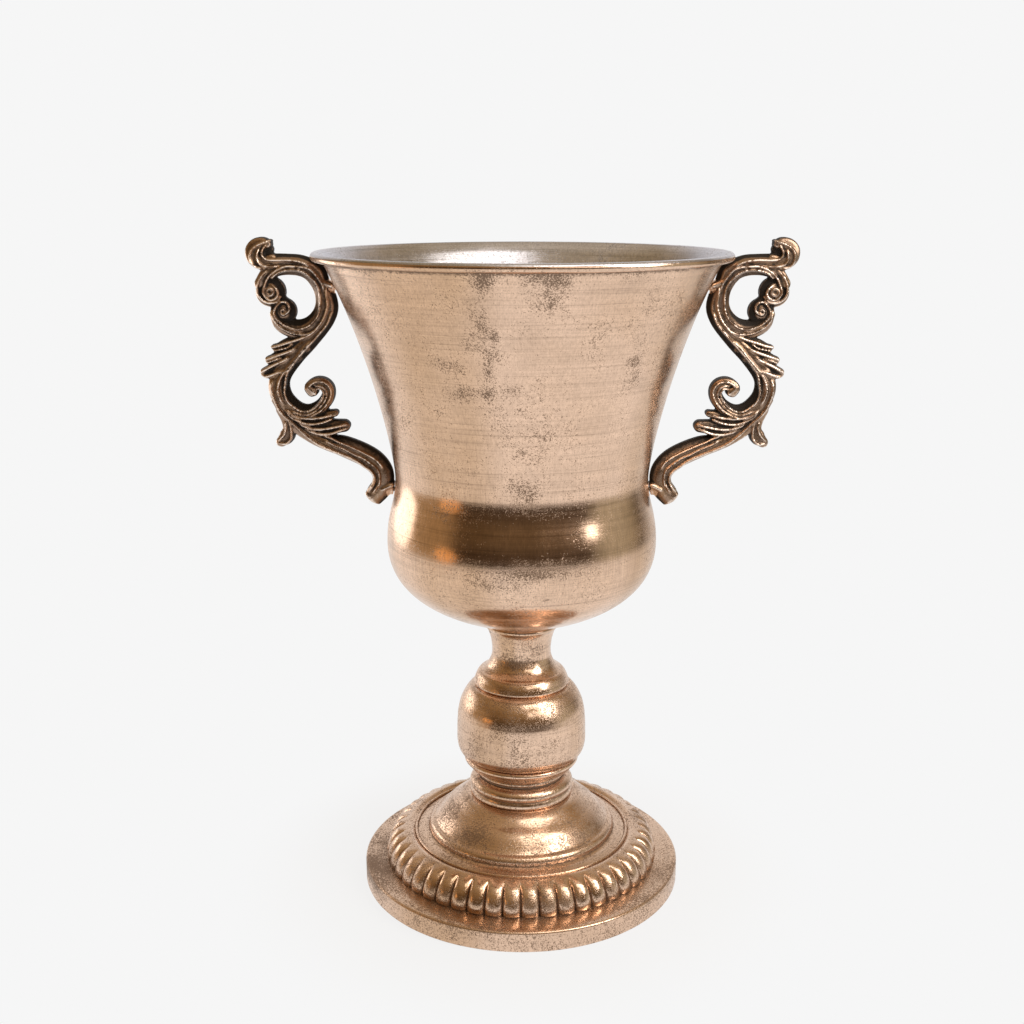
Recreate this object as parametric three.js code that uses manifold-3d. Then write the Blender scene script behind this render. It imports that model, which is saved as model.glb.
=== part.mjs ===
// Footed metal planter: a spun cup on a turned stem and a gadrooned foot, with two cast scroll handles.
// Millimetres, +Z up, origin on the ground at the middle of the foot, handles along X.
// A tie rod draws the stem together, and screws from inside the cup hold the handles.
import * as THREE from 'three';
import { mergeVertices } from 'three/addons/utils/BufferGeometryUtils.js';
import Module from 'manifold-3d';

const wasm = await Module();
wasm.setup();

// Driving dimensions

const FIT_GAP = 0.3;
const TURNED_SEGMENTS = 40;
const STEM_SEGMENTS = 24;
const SMALL_SEGMENTS = 12;
const SCREW_SEGMENTS = 8;
const CURVE_STEPS = 5;

const foot = {
  radius: 98.3,
  height: 54.5,
  wall: 2.2,
  flangeHeight: 12.6,
  flangeRise: 1,
  edgeRadius: 1.6,
  bandOuterRadius: 82.2,
  bandInnerRadius: 68,
  bandTop: 29.6,
  beadRadius: 65,
  beadThickness: 1.3,
  stepRadius: 57.8,
  creaseRise: 1.8,
  stepHeight: 3.6,
  stepRounding: 2.4,
  shoulderRadius: 31.5,
};
const gadroon = { count: 48, relief: 2.4 };
const collar = {
  height: 17,
  footRadius: 31,
  filletHeight: 3.1,
  torusRadius: 31.3,
  torusHeight: 7.4,
  torusThickness: 3.2,
  coveRadius: 26.6,
  topRadius: 27.2,
};
const ring = { height: 8.1, lipRadius: 35.3, lipHeight: 2, neckRadius: 31.5 };
const knop = { height: 46.4, topRadius: 28.8, maxRadius: 39.8, maxHeight: 15, bottomRadius: 34, wall: 1.6 };
const neck = {
  height: 39.5,
  lipRadius: 22,
  lipHeight: 3.4,
  waistRadius: 17.8,
  waistHeight: 20.5,
  shoulderRadius: 25.3,
  shoulderHeight: 8.5,
  grooveHeight: 0.7,
  bandRadius: 28.6,
};
const STEM_BORE = 12;
const cup = {
  height: 221.9,
  rimRadius: 120,
  beadRadius: 2.4,
  beadStart: -130,
  beadEnd: 125,
  wall: 1.2,
  mouthInset: 6.8,
  mouthDepth: 5.4,
  flareWidth: 24,
  flareDepth: 46.8,
  waistRadius: 74.8,
  waistHeight: 91.2,
  waistHold: 15,
  bellyRadius: 80.3,
  bellyHeight: 52.1,
  bellyHoldAbove: 18.3,
  bellyHoldBelow: 37.5,
  throatRadius: 22,
  throatRun: 13.2,
  throatRise: 7.4,
};
const rod = { radius: 4, overhang: 2.7, holeRadius: 4.3 };
const nut = { acrossFlats: 13, height: 6.5 };
const washer = { radius: 12, thickness: 1.6 };
const lockWasher = { radius: 7, thickness: 2 };
const screw = {
  radius: 1.5,
  holeRadius: 1.8,
  headRadius: 2.9,
  headHeight: 2.2,
  headEdge: 1,
  length: 8.5,
  tip: 0.6,
  holeDepth: 7,
};
const screwWasher = { radius: 3.8, thickness: 0.8, gap: 0.4 };
const handle = {
  halfDepth: 6.5,
  upperSeatDrop: 19.4,
  lowerSeatDrop: 139.4,
  drawnUpperInset: 13.06,
  drawnLowerInset: 44.5,
  bossRadius: 2.9,
  bossFlare: 4.2,
  bossLength: 6,
  bossGap: 0.5,
  eyeFace: 0.6,
  topEyeRadius: 5.5,
  upperEyeRadius: 8.6,
  lowerEyeRadius: 7.5,
};
// A cast bar's section: how much of its width is flat face, and how its rounded ends draw in.
const barSection = { face: 0.72, endReach: 0.6, endWidth: 0.5, endDepth: 0.75 };

// Finishes

function metal(color, roughness) {
  return new THREE.MeshStandardMaterial({ color, roughness, metalness: 1 });
}

const bronze = metal(0xb58c66, 0.34);
const darkBronze = metal(0x8a6647, 0.42);
const steel = metal(0xa9abad, 0.4);

// Shape helpers

// Keeps only positions, merges shared vertices and drops the slivers left where an outline meets the axis.
function closedGeometry(geometry) {
  geometry.deleteAttribute('normal');
  geometry.deleteAttribute('uv');
  const merged = mergeVertices(geometry, 1e-3);
  const corners = merged.index.array;
  const kept = [];
  for (let i = 0; i < corners.length; i += 3) {
    const [a, b, c] = corners.slice(i, i + 3);
    if (a !== b && b !== c && c !== a) kept.push(a, b, c);
  }
  merged.setIndex(kept);
  return merged;
}

// Turns a closed outline of (radius, height) points about Z.
function turned(outline, segments = TURNED_SEGMENTS) {
  const loop = THREE.ShapeUtils.isClockWise(outline) ? [...outline].reverse() : outline;
  const geometry = new THREE.LatheGeometry([...loop, loop[0]], segments);
  geometry.rotateX(Math.PI / 2);
  return closedGeometry(geometry);
}

function point(radius, height) {
  return new THREE.Vector2(radius, height);
}

// An arc of an ellipse with a width and a height from its centre, which is a circle where they are alike.
function arc(centre, [width, height], [startDegrees, endDegrees], steps) {
  const start = THREE.MathUtils.degToRad(startDegrees);
  const end = THREE.MathUtils.degToRad(endDegrees);
  const clockwise = endDegrees < startDegrees;
  return new THREE.EllipseCurve(centre.x, centre.y, width, height, start, end, clockwise).getPoints(steps);
}

// A smooth curve from one point to another through points given as shares of the way across and up.
function curveBetween(from, to, shares, steps) {
  const places = shares.map(([across, up]) => point(
    THREE.MathUtils.lerp(from.x, to.x, across),
    THREE.MathUtils.lerp(from.y, to.y, up),
  ));
  return new THREE.SplineCurve([from, ...places, to]).getPoints(steps);
}

// Moves each point of an open outline to its left by a distance, square to the outline there.
function offsetLeft(points, distance) {
  return points.map((here, i) => {
    const before = points[Math.max(i - 1, 0)];
    const after = points[Math.min(i + 1, points.length - 1)];
    const along = after.clone().sub(before).normalize();
    return point(here.x - along.y * distance, here.y + along.x * distance);
  });
}

function solidFrom(geometry) {
  return new wasm.Manifold(new wasm.Mesh({
    numProp: 3,
    vertProperties: new Float32Array(geometry.attributes.position.array),
    triVerts: new Uint32Array(geometry.index.array),
  }));
}

function geometryFrom(solid) {
  const { vertProperties, triVerts } = solid.getMesh();
  const geometry = new THREE.BufferGeometry();
  geometry.setAttribute('position', new THREE.BufferAttribute(vertProperties, 3));
  geometry.setIndex([...triVerts]);
  geometry.computeVertexNormals();
  return geometry;
}

function joined(geometries) {
  const [first, ...others] = geometries.map(solidFrom);
  return others.reduce((sum, solid) => sum.add(solid), first);
}

function piece(name, geometry, material) {
  const mesh = new THREE.Mesh(geometry, material);
  mesh.name = name;
  geometry.computeVertexNormals();
  return mesh;
}

// Places a child with its local Z along the outward axis of a seat on the cup wall, in the XZ plane.
function aimAlong(object, seat, distance) {
  object.rotation.y = seat.tilt;
  object.position.set(seat.x + Math.sin(seat.tilt) * distance, 0, seat.z + Math.cos(seat.tilt) * distance);
}

// Foot

// One row of the foot: a circle of points, or twice as many in a lobed row, with every other one pushed out.
function footRow({ x: radius, y: height }, push) {
  const columns = push ? gadroon.count * 2 : gadroon.count;
  return Array.from({ length: columns }, (_, column) => {
    const angle = (column / columns) * Math.PI * 2;
    const lobe = push && column % 2 === 0 ? 1 : 0;
    const reach = radius + (lobe ? push.x : 0);
    return [Math.cos(angle) * reach, Math.sin(angle) * reach, height + (lobe ? push.y : 0)];
  });
}

// Joins rows of points into one closed skin. A row may have twice the points of the row next to it.
function lofted(rows) {
  const starts = [];
  let count = 0;
  for (const row of rows) {
    starts.push(count);
    count += row.length;
  }
  const corners = [];
  rows.forEach((row, r) => {
    const upper = rows[(r + 1) % rows.length];
    const here = (i) => starts[r] + (i % row.length);
    const above = (i) => starts[(r + 1) % rows.length] + (i % upper.length);
    for (let i = 0; i < Math.min(row.length, upper.length); i += 1) {
      if (row.length === upper.length) {
        corners.push(here(i), here(i + 1), above(i), here(i + 1), above(i + 1), above(i));
      } else if (row.length < upper.length) {
        corners.push(here(i), here(i + 1), above(2 * i + 1));
        corners.push(here(i), above(2 * i + 1), above(2 * i));
        corners.push(here(i + 1), above(2 * i + 2), above(2 * i + 1));
      } else {
        corners.push(here(2 * i), here(2 * i + 1), above(i));
        corners.push(here(2 * i + 1), above(i + 1), above(i));
        corners.push(here(2 * i + 1), here(2 * i + 2), above(i + 1));
      }
    }
  });
  const geometry = new THREE.BufferGeometry();
  geometry.setAttribute('position', new THREE.Float32BufferAttribute(rows.flat(2), 3));
  geometry.setIndex(corners);
  return geometry;
}

const bandFoot = foot.flangeHeight + foot.flangeRise;

// The bottom of the grooves between the lobes: a quarter round from the bead out and down to the flange.
function bandGroove(share) {
  const outward = Math.sin(share * Math.PI / 2);
  const upward = Math.cos(share * Math.PI / 2);
  const run = foot.bandOuterRadius - foot.bandInnerRadius;
  const rise = foot.bandTop - bandFoot;
  return { place: point(foot.bandInnerRadius + run * outward, bandFoot + rise * upward), outward, upward };
}

// The lobed band. A lobe's relief is fullest near the flange and fades out below the bead.
function bandRows() {
  const stations = [
    { share: 1, swell: 0.35 },
    { share: 0.9, swell: 0.95 },
    { share: 0.65, swell: 1 },
    { share: 0.35, swell: 0.55 },
    { share: 0.08, swell: 0.05 },
  ];
  return stations.map(({ share, swell }) => {
    const { place, outward, upward } = bandGroove(share);
    return footRow(place, point(outward, upward).multiplyScalar(gadroon.relief * swell));
  });
}

function makeFoot() {
  const { radius, height, wall, flangeHeight, edgeRadius, bandTop, beadThickness } = foot;
  const stepFoot = point(foot.stepRadius, bandTop + foot.creaseRise);
  const step = point(foot.stepRadius - foot.stepRounding, stepFoot.y + foot.stepHeight);
  const shoulder = point(foot.shoulderRadius, height);
  const domeShares = [[0.25, 0.32], [0.42, 0.57], [0.57, 0.68], [0.77, 0.9]];
  const dome = curveBetween(step, shoulder, domeShares, 8);
  const spine = [
    point(radius, 0),
    point(radius, flangeHeight),
    point(foot.bandOuterRadius, flangeHeight),
    bandGroove(0.5).place,
    point(foot.bandInnerRadius, bandTop),
    point(step.x, bandTop),
    dome[3],
    dome[6],
  ];
  const inside = offsetLeft(spine, wall);
  inside[0] = point(radius - wall, 0);
  inside[1] = point(radius - wall, flangeHeight - wall);
  const edge = point(radius - edgeRadius, flangeHeight - edgeRadius);
  const bead = point(foot.beadRadius, bandTop + beadThickness / 2);
  const plain = (points) => points.map((place) => footRow(place));
  return lofted([
    ...plain([
      point(radius, 0),
      ...arc(edge, [edgeRadius, edgeRadius], [0, 80], 2),
      point(foot.bandOuterRadius + gadroon.relief / 2, bandFoot),
    ]),
    ...bandRows(),
    ...plain([
      ...arc(bead, [beadThickness, beadThickness], [0, 180], 3),
      stepFoot,
      ...arc(point(step.x, stepFoot.y), [foot.stepRounding, foot.stepHeight], [35, 75], 1),
      ...dome,
      point(rod.holeRadius, height),
      point(rod.holeRadius, height - wall),
      point(foot.shoulderRadius, height - wall),
      ...inside.reverse(),
    ]),
  ]);
}

// Stem pieces, each standing on its own z = 0

function makeCollar() {
  const { height, footRadius, filletHeight, torusHeight, torusThickness, coveRadius, topRadius } = collar;
  const torus = point(collar.torusRadius - torusThickness, torusHeight);
  const coveHeight = (torusHeight + torusThickness + height) / 2;
  return turned([
    point(STEM_BORE, 0),
    point(footRadius, 0),
    point(footRadius, filletHeight),
    ...arc(torus, [torusThickness, torusThickness], [-65, 70], 5),
    point(coveRadius, coveHeight),
    point(topRadius, height),
    point(STEM_BORE, height),
  ], STEM_SEGMENTS);
}

function makeRing() {
  const { height, lipRadius, lipHeight, neckRadius } = ring;
  const rounding = lipHeight / 2;
  const lip = point(lipRadius - rounding, height - rounding);
  return turned([
    point(STEM_BORE, 0),
    point(neckRadius, 0),
    ...arc(lip, [rounding, rounding], [-60, 90], 3),
    point(STEM_BORE, height),
  ], STEM_SEGMENTS);
}

// Two quarter ellipses that meet at the widest place.
function knopOutline(steps) {
  const { height, topRadius, maxRadius, maxHeight, bottomRadius } = knop;
  const lowerSize = [maxRadius - bottomRadius, maxHeight];
  const upperSize = [maxRadius - topRadius, height - maxHeight];
  const lower = arc(point(bottomRadius, maxHeight), lowerSize, [-90, 0], steps);
  const upper = arc(point(topRadius, maxHeight), upperSize, [0, 90], steps * 2);
  return [...lower, ...upper.slice(1)];
}

function makeKnop() {
  const inside = offsetLeft(knopOutline(2), knop.wall);
  inside[0] = point(knop.bottomRadius - knop.wall, 0);
  inside[inside.length - 1] = point(knop.topRadius - knop.wall, knop.height - knop.wall);
  return turned([
    ...knopOutline(4),
    point(STEM_BORE, knop.height),
    point(STEM_BORE, knop.height - knop.wall),
    ...inside.reverse(),
  ], STEM_SEGMENTS);
}

function makeNeck() {
  const { height, lipRadius, lipHeight, waistRadius, waistHeight, shoulderRadius, shoulderHeight } = neck;
  const grooveTop = point(shoulderRadius, shoulderHeight + neck.grooveHeight);
  const waist = point(waistRadius, waistHeight);
  const lip = point(lipRadius, height - lipHeight);
  const bandShares = [[0, 0.2], [0.3, 0.58], [0.7, 0.86]];
  const shoulderShares = [[0.16, 0.08], [0.49, 0.21], [0.84, 0.44]];
  const throatShares = [[0.24, 0.54], [0.62, 0.9]];
  return turned([
    point(STEM_BORE, 0),
    ...curveBetween(point(neck.bandRadius, 0), point(shoulderRadius, shoulderHeight), bandShares, 5),
    ...curveBetween(grooveTop, waist, shoulderShares, 7),
    ...curveBetween(waist, lip, throatShares, 4).slice(1),
    point(lipRadius, height),
    point(STEM_BORE, height),
  ], STEM_SEGMENTS);
}

// Cup, standing on its own z = 0

const mouth = point(cup.rimRadius - cup.mouthInset, cup.height - cup.mouthDepth);
const bead = point(cup.rimRadius - cup.beadRadius, cup.height - cup.beadRadius);

function cupOutside() {
  const path = new THREE.Path();
  path.moveTo(cup.throatRadius, 0);
  path.bezierCurveTo(
    cup.throatRadius + cup.throatRun, cup.throatRise,
    cup.bellyRadius, cup.bellyHeight - cup.bellyHoldBelow,
    cup.bellyRadius, cup.bellyHeight,
  );
  path.bezierCurveTo(
    cup.bellyRadius, cup.bellyHeight + cup.bellyHoldAbove,
    cup.waistRadius, cup.waistHeight - cup.waistHold,
    cup.waistRadius, cup.waistHeight,
  );
  path.bezierCurveTo(
    cup.waistRadius, cup.waistHeight + cup.waistHold,
    mouth.x - cup.flareWidth, mouth.y - cup.flareDepth,
    mouth.x, mouth.y,
  );
  return path.getPoints(CURVE_STEPS);
}

const cupWallPoints = cupOutside();

// The outside of the cup wall at a height: where it is, and how far its outward normal leans from +Z.
function wallAt(height) {
  const upper = cupWallPoints.findIndex((here) => here.y >= height);
  const a = cupWallPoints[upper - 1];
  const b = cupWallPoints[upper];
  const radius = THREE.MathUtils.mapLinear(height, a.y, b.y, a.x, b.x);
  return { x: radius, z: height, tilt: Math.atan2(b.y - a.y, a.x - b.x) };
}

const handleSeats = {
  upper: wallAt(cup.height - handle.upperSeatDrop),
  lower: wallAt(cup.height - handle.lowerSeatDrop),
};

// A round bar along the axis of a seat, from one distance off the wall to another.
function seatPlug(seat, radius, from, to, endRadius = radius) {
  const geometry = closedGeometry(new THREE.CylinderGeometry(endRadius, radius, to - from, SMALL_SEGMENTS));
  geometry.rotateX(Math.PI / 2);
  geometry.translate(0, 0, (from + to) / 2);
  const holder = new THREE.Object3D();
  aimAlong(holder, seat, 0);
  holder.updateMatrix();
  geometry.applyMatrix4(holder.matrix);
  return geometry;
}

function makeCup() {
  const inside = offsetLeft(cupWallPoints, cup.wall);
  inside[0] = point(cup.throatRadius, cup.wall);
  const outline = [
    ...cupWallPoints,
    ...arc(bead, [cup.beadRadius, cup.beadRadius], [cup.beadStart, cup.beadEnd], 5),
    ...inside.reverse(),
    point(rod.holeRadius, cup.wall),
    point(rod.holeRadius, 0),
  ];
  let solid = solidFrom(turned(outline));
  for (const seat of Object.values(handleSeats)) {
    const hole = seatPlug(seat, screw.holeRadius, -cup.wall * 4, cup.wall * 4);
    const opposite = hole.clone().rotateZ(Math.PI);
    solid = solid.subtract(solidFrom(hole)).subtract(solidFrom(opposite));
  }
  return geometryFrom(solid);
}

// Handles, drawn from the outer edge of the rim: out from the rim, down from the top of the cup

// How far the drawing moves out at each seat, so that the handle keeps its distance from the wall there.
const seatShift = {
  upper: handle.drawnUpperInset - (cup.rimRadius - handleSeats.upper.x),
  lower: handle.drawnLowerInset - (cup.rimRadius - handleSeats.lower.x),
};

// The drawing leans evenly from one seat to the other and on beyond them.
function handlePoint(out, down) {
  const { upperSeatDrop, lowerSeatDrop } = handle;
  const shift = THREE.MathUtils.mapLinear(down, upperSeatDrop, lowerSeatDrop, seatShift.upper, seatShift.lower);
  return point(cup.rimRadius + out + shift, cup.height - down);
}

// A cast scroll or leaf: a bar of six-sided section that follows [out, down, half width] points.
function bar(points, halfDepth, steps) {
  const places = points.map(([out, down, half]) => {
    const { x, y } = handlePoint(out, down);
    return new THREE.Vector3(x, half, y);
  });
  const route = new THREE.CatmullRomCurve3(places, false, 'centripetal');
  const stations = route.getSpacedPoints(steps).map((here, i) => {
    const along = route.getTangentAt(i / steps).setY(0).normalize();
    return { x: here.x, z: here.z, half: here.y, depth: halfDepth, along };
  });
  const roundEnd = (end, direction) => ({
    x: end.x + end.along.x * direction * end.half * barSection.endReach,
    z: end.z + end.along.z * direction * end.half * barSection.endReach,
    half: end.half * barSection.endWidth,
    depth: end.depth * barSection.endDepth,
    along: end.along,
  });
  stations.unshift(roundEnd(stations[0], -1));
  stations.push(roundEnd(stations[stations.length - 1], 1));
  const { face } = barSection;
  const section = [[1, 0], [face, 1], [-face, 1], [-1, 0], [-face, -1], [face, -1]];
  const vertices = [];
  for (const { x, z, half, depth, along } of stations) {
    for (const [side, front] of section) {
      vertices.push(x - along.z * side * half, front * depth, z + along.x * side * half);
    }
  }
  const last = (stations.length - 1) * section.length;
  const corners = [];
  for (let ringStart = 0; ringStart < last; ringStart += section.length) {
    section.forEach((_, i) => {
      const next = (i + 1) % section.length;
      const a = ringStart + i;
      const b = ringStart + next;
      const c = b + section.length;
      const d = a + section.length;
      corners.push(a, c, b, a, d, c);
    });
  }
  for (let i = 1; i < section.length - 1; i += 1) {
    corners.push(0, i, i + 1);
    corners.push(last, last + i + 1, last + i);
  }
  const geometry = new THREE.BufferGeometry();
  geometry.setAttribute('position', new THREE.Float32BufferAttribute(vertices, 3));
  geometry.setIndex(corners);
  return geometry;
}

// A round eye of a volute: a chamfered disc across the handle.
function voluteEye({ out, down, radius }) {
  const { halfDepth, eyeFace } = handle;
  const geometry = turned([
    point(0, -halfDepth),
    point(radius * eyeFace, -halfDepth),
    point(radius, -halfDepth * eyeFace),
    point(radius, halfDepth * eyeFace),
    point(radius * eyeFace, halfDepth),
    point(0, halfDepth),
  ], SMALL_SEGMENTS);
  const centre = handlePoint(out, down);
  geometry.rotateX(Math.PI / 2);
  geometry.translate(centre.x, 0, centre.y);
  return geometry;
}

// Points of a curl that winds about a centre while its radius and half width change evenly.
function curl(centre, radii, degrees, halves, count) {
  return Array.from({ length: count }, (_, i) => {
    const share = i / (count - 1);
    const angle = THREE.MathUtils.degToRad(THREE.MathUtils.lerp(...degrees, share));
    const radius = THREE.MathUtils.lerp(...radii, share);
    const half = THREE.MathUtils.lerp(...halves, share);
    return [centre[0] + Math.cos(angle) * radius, centre[1] - Math.sin(angle) * radius, half];
  });
}

const topCurl = [
  [22.5, 4.7, 3.2], [28.3, 6.4, 4], [32.4, 4, 4.4], [33.2, -0.2, 4.4], [30.4, -3.4, 4], [26.6, -3.8, 3.4],
  [25.2, -0.8, 2.6],
];
const mainScroll = [
  [22.5, 4.7, 3.2], [14, 4.5, 2.8], [6, 5, 2.8], [1.6, 7.4, 2.9], [-4.3, 10.4, 3.2], [-9.7, 21, 3.4],
  [-10.7, 33, 3.4], [-7.7, 39.8, 3.6], [2.3, 51.1, 4.5], [12, 60.8, 5], [20, 71, 5.6], [21.7, 77, 6],
  [20.3, 83.5, 6], [14.7, 89.1, 4.8], [7.7, 91.5, 4.1],
];
const lowerCurl = [
  [14.7, 89.1, 4.8], [7.7, 91.5, 4.1],
  ...curl([0.2, 81.3], [8.3, 4.9], [-88, -352], [3.9, 2.4], 8),
];
const eyeScroll = [
  [29.1, 18.2, 4], [25.1, 12.5, 3.9], [14.2, 10, 3.6], [3.1, 12.4, 3.5], [-4, 22.1, 3.4], [-4.2, 33.5, 3.6],
  [-0.8, 38.4, 4.2], [5.2, 43.3, 4.9], [12.7, 43.6, 5.2], [19, 40.7, 4.6], [21.9, 35.8, 2.9],
];
const arm = [
  [24.4, 84.7, 2.3], [15.1, 99.3, 3.2], [3.1, 107.2, 4.1], [-5.7, 110.9, 4.7], [-15, 113.3, 6],
  [-31.6, 121.4, 6.4], [-37.2, 128.1, 6.2], [-37.7, 135.1, 6], [-36.2, 140.6, 5.8], [-33.2, 145, 5.4],
];
const upperLeaf = [
  [[2, 49, 3.2], [9, 51.2, 3.6], [16.6, 53.4, 3.6], [22.5, 55.5, 3]],
  [[5, 54.6, 3.2], [11, 56.6, 3.6], [19.2, 59.2, 3.6], [26.9, 62.4, 2.9]],
  [[10, 60, 3.4], [15.3, 62.8, 3.8], [22.4, 66.3, 3.7], [29.9, 70, 3.1]],
];
const lowerLeaf = [
  [[16.6, 93, 3], [6.7, 96, 3.3], [-2.7, 95.1, 3.1], [-10.4, 93.4, 2.3]],
  [[12.7, 99.5, 3.6], [2.2, 101.9, 4.2], [-7.2, 101.6, 4.3], [-15.4, 101, 3.8]],
];
const spur = [[21.2, 91.2, 2.9], [18.3, 97.7, 2.8], [17, 102.5, 3.5], [18.4, 107.3, 4.7], [21.8, 110.6, 3.5]];

// How far each part's faces lie behind the handle's full depth, and how many stations it is cut into.
const cast = [
  { route: topCurl, inset: 0.4, steps: 8 },
  { route: mainScroll, inset: 0, steps: 20 },
  { route: lowerCurl, inset: 0.2, steps: 11 },
  { route: eyeScroll, inset: 0.3, steps: 16 },
  { route: arm, inset: 0.1, steps: 13 },
  { route: spur, inset: 1.6, steps: 5 },
  ...[...upperLeaf, ...lowerLeaf].map((lobe) => ({ route: lobe, inset: 1.2, steps: 4 })),
];
const eyes = [
  { out: 29.3, down: 0, radius: handle.topEyeRadius },
  { out: 24.2, down: 23, radius: handle.upperEyeRadius },
  { out: 17.2, down: 34.1, radius: handle.lowerEyeRadius },
];

function makeHandle() {
  const { halfDepth, bossRadius, bossGap, bossLength, bossFlare } = handle;
  const seats = Object.values(handleSeats);
  const solid = joined([
    ...cast.map(({ route, inset, steps }) => bar(route, halfDepth - inset, steps)),
    ...eyes.map(voluteEye),
    ...seats.map((seat) => seatPlug(seat, bossRadius, bossGap, bossLength, bossFlare)),
  ]);
  const holes = seats.map((seat) => solidFrom(seatPlug(seat, screw.holeRadius, 0, screw.holeDepth)));
  return geometryFrom(holes.reduce((left, hole) => left.subtract(hole), solid));
}

// Fasteners, each standing on its own z = 0

function makeWasher({ radius, thickness }, holeRadius, segments = SMALL_SEGMENTS) {
  return turned([
    point(holeRadius, 0),
    point(radius, 0),
    point(radius, thickness),
    point(holeRadius, thickness),
  ], segments);
}

function makeNut() {
  const cornerRadius = nut.acrossFlats / 2 / Math.cos(Math.PI / 6);
  const outline = new THREE.Shape();
  for (let corner = 0; corner < 6; corner += 1) {
    const angle = (corner * Math.PI) / 3;
    const place = [Math.cos(angle) * cornerRadius, Math.sin(angle) * cornerRadius];
    if (corner === 0) outline.moveTo(...place);
    else outline.lineTo(...place);
  }
  outline.closePath();
  const bore = new THREE.Path();
  bore.absarc(0, 0, rod.holeRadius, 0, Math.PI * 2, true);
  outline.holes.push(bore);
  const settings = { depth: nut.height, bevelEnabled: false, curveSegments: SCREW_SEGMENTS };
  return closedGeometry(new THREE.ExtrudeGeometry(outline, settings));
}

function makeRod(length) {
  const geometry = new THREE.CylinderGeometry(rod.radius, rod.radius, length, SMALL_SEGMENTS);
  geometry.rotateX(Math.PI / 2);
  geometry.translate(0, 0, length / 2);
  return closedGeometry(geometry);
}

// Head down on z = 0, shank along +Z.
function makeScrew() {
  const { radius, headRadius, headHeight, headEdge, length, tip } = screw;
  return turned([
    point(0, -headHeight),
    point(headRadius - headEdge, -headHeight),
    point(headRadius, headEdge - headHeight),
    point(headRadius, 0),
    point(radius, 0),
    point(radius, length - tip),
    point(radius - tip, length),
    point(0, length),
  ], SCREW_SEGMENTS);
}

// Assembly

function stacked(mesh, height) {
  mesh.position.z = height;
  return mesh;
}

const collarBase = foot.height;
const ringBase = collarBase + collar.height;
const knopBase = ringBase + ring.height;
const neckBase = knopBase + knop.height;
const cupBase = neckBase + neck.height;
const cupFloor = cupBase + cup.wall;
const footCeiling = foot.height - foot.wall;
const rodBottom = footCeiling - washer.thickness - lockWasher.thickness - nut.height - rod.overhang;
const rodTop = cupFloor + washer.thickness + nut.height + rod.overhang;

const planter = new THREE.Group();
planter.add(
  piece('foot', makeFoot(), bronze),
  stacked(piece('lower_collar', makeCollar(), bronze), collarBase),
  stacked(piece('knop_ring', makeRing(), bronze), ringBase),
  stacked(piece('knop', makeKnop(), bronze), knopBase),
  stacked(piece('neck', makeNeck(), bronze), neckBase),
  stacked(piece('tie_rod', makeRod(rodTop - rodBottom), steel), rodBottom),
  stacked(piece('cup_washer', makeWasher(washer, rod.holeRadius), steel), cupFloor),
  stacked(piece('cup_nut', makeNut(), steel), cupFloor + washer.thickness),
  stacked(piece('foot_washer', makeWasher(washer, rod.holeRadius), steel), footCeiling - washer.thickness),
  stacked(
    piece('lock_washer', makeWasher(lockWasher, rod.holeRadius), steel),
    footCeiling - washer.thickness - lockWasher.thickness,
  ),
  stacked(piece('foot_nut', makeNut(), steel), rodBottom + rod.overhang),
);

const bowl = new THREE.Group();
bowl.position.z = cupBase;
bowl.add(piece('cup', makeCup(), bronze));
for (const [side, turn] of [['right', 0], ['left', Math.PI]]) {
  const arms = new THREE.Group();
  arms.rotation.z = turn;
  arms.add(piece(`handle_${side}`, makeHandle(), darkBronze));
  for (const [level, seat] of Object.entries(handleSeats)) {
    const plateShape = makeWasher(screwWasher, screw.holeRadius, SCREW_SEGMENTS);
    const plate = piece(`screw_washer_${side}_${level}`, plateShape, steel);
    const bolt = piece(`screw_${side}_${level}`, makeScrew(), steel);
    const inner = -cup.wall - screwWasher.gap - screwWasher.thickness;
    aimAlong(plate, seat, inner);
    aimAlong(bolt, seat, inner - FIT_GAP);
    arms.add(plate, bolt);
  }
  bowl.add(arms);
}
planter.add(bowl);

export default planter;
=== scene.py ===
"""Looks of a footed metal planter.

A spun cup stands on a turned stem and a gadrooned foot, and has two cast scroll handles. The sizes here are
in millimetres, and the heights that the pieces start from come from the frame. The frame itself is in metres,
with +Z up, the handles along X and the viewer at -Y.
"""
import logging
import math
from dataclasses import dataclass, field
from enum import Enum
from typing import Mapping, Sequence

import bpy
import numpy as np
from mathutils import Matrix, Vector
from mathutils.kdtree import KDTree


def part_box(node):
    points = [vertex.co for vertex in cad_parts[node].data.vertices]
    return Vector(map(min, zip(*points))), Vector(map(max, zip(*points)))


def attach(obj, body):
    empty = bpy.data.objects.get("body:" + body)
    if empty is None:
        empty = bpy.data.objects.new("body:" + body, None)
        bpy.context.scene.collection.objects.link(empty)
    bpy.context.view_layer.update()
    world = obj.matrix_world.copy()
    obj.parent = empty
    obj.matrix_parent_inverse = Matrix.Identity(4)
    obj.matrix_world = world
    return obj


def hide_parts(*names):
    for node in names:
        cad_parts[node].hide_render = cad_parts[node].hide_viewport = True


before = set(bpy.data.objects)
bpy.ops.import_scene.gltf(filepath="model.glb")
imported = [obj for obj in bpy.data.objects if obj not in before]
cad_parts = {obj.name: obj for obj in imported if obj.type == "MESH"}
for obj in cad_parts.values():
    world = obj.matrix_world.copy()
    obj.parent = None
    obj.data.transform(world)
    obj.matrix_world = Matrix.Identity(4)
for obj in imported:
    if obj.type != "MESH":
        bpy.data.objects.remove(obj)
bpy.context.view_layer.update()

log = logging.getLogger("planter")

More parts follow.
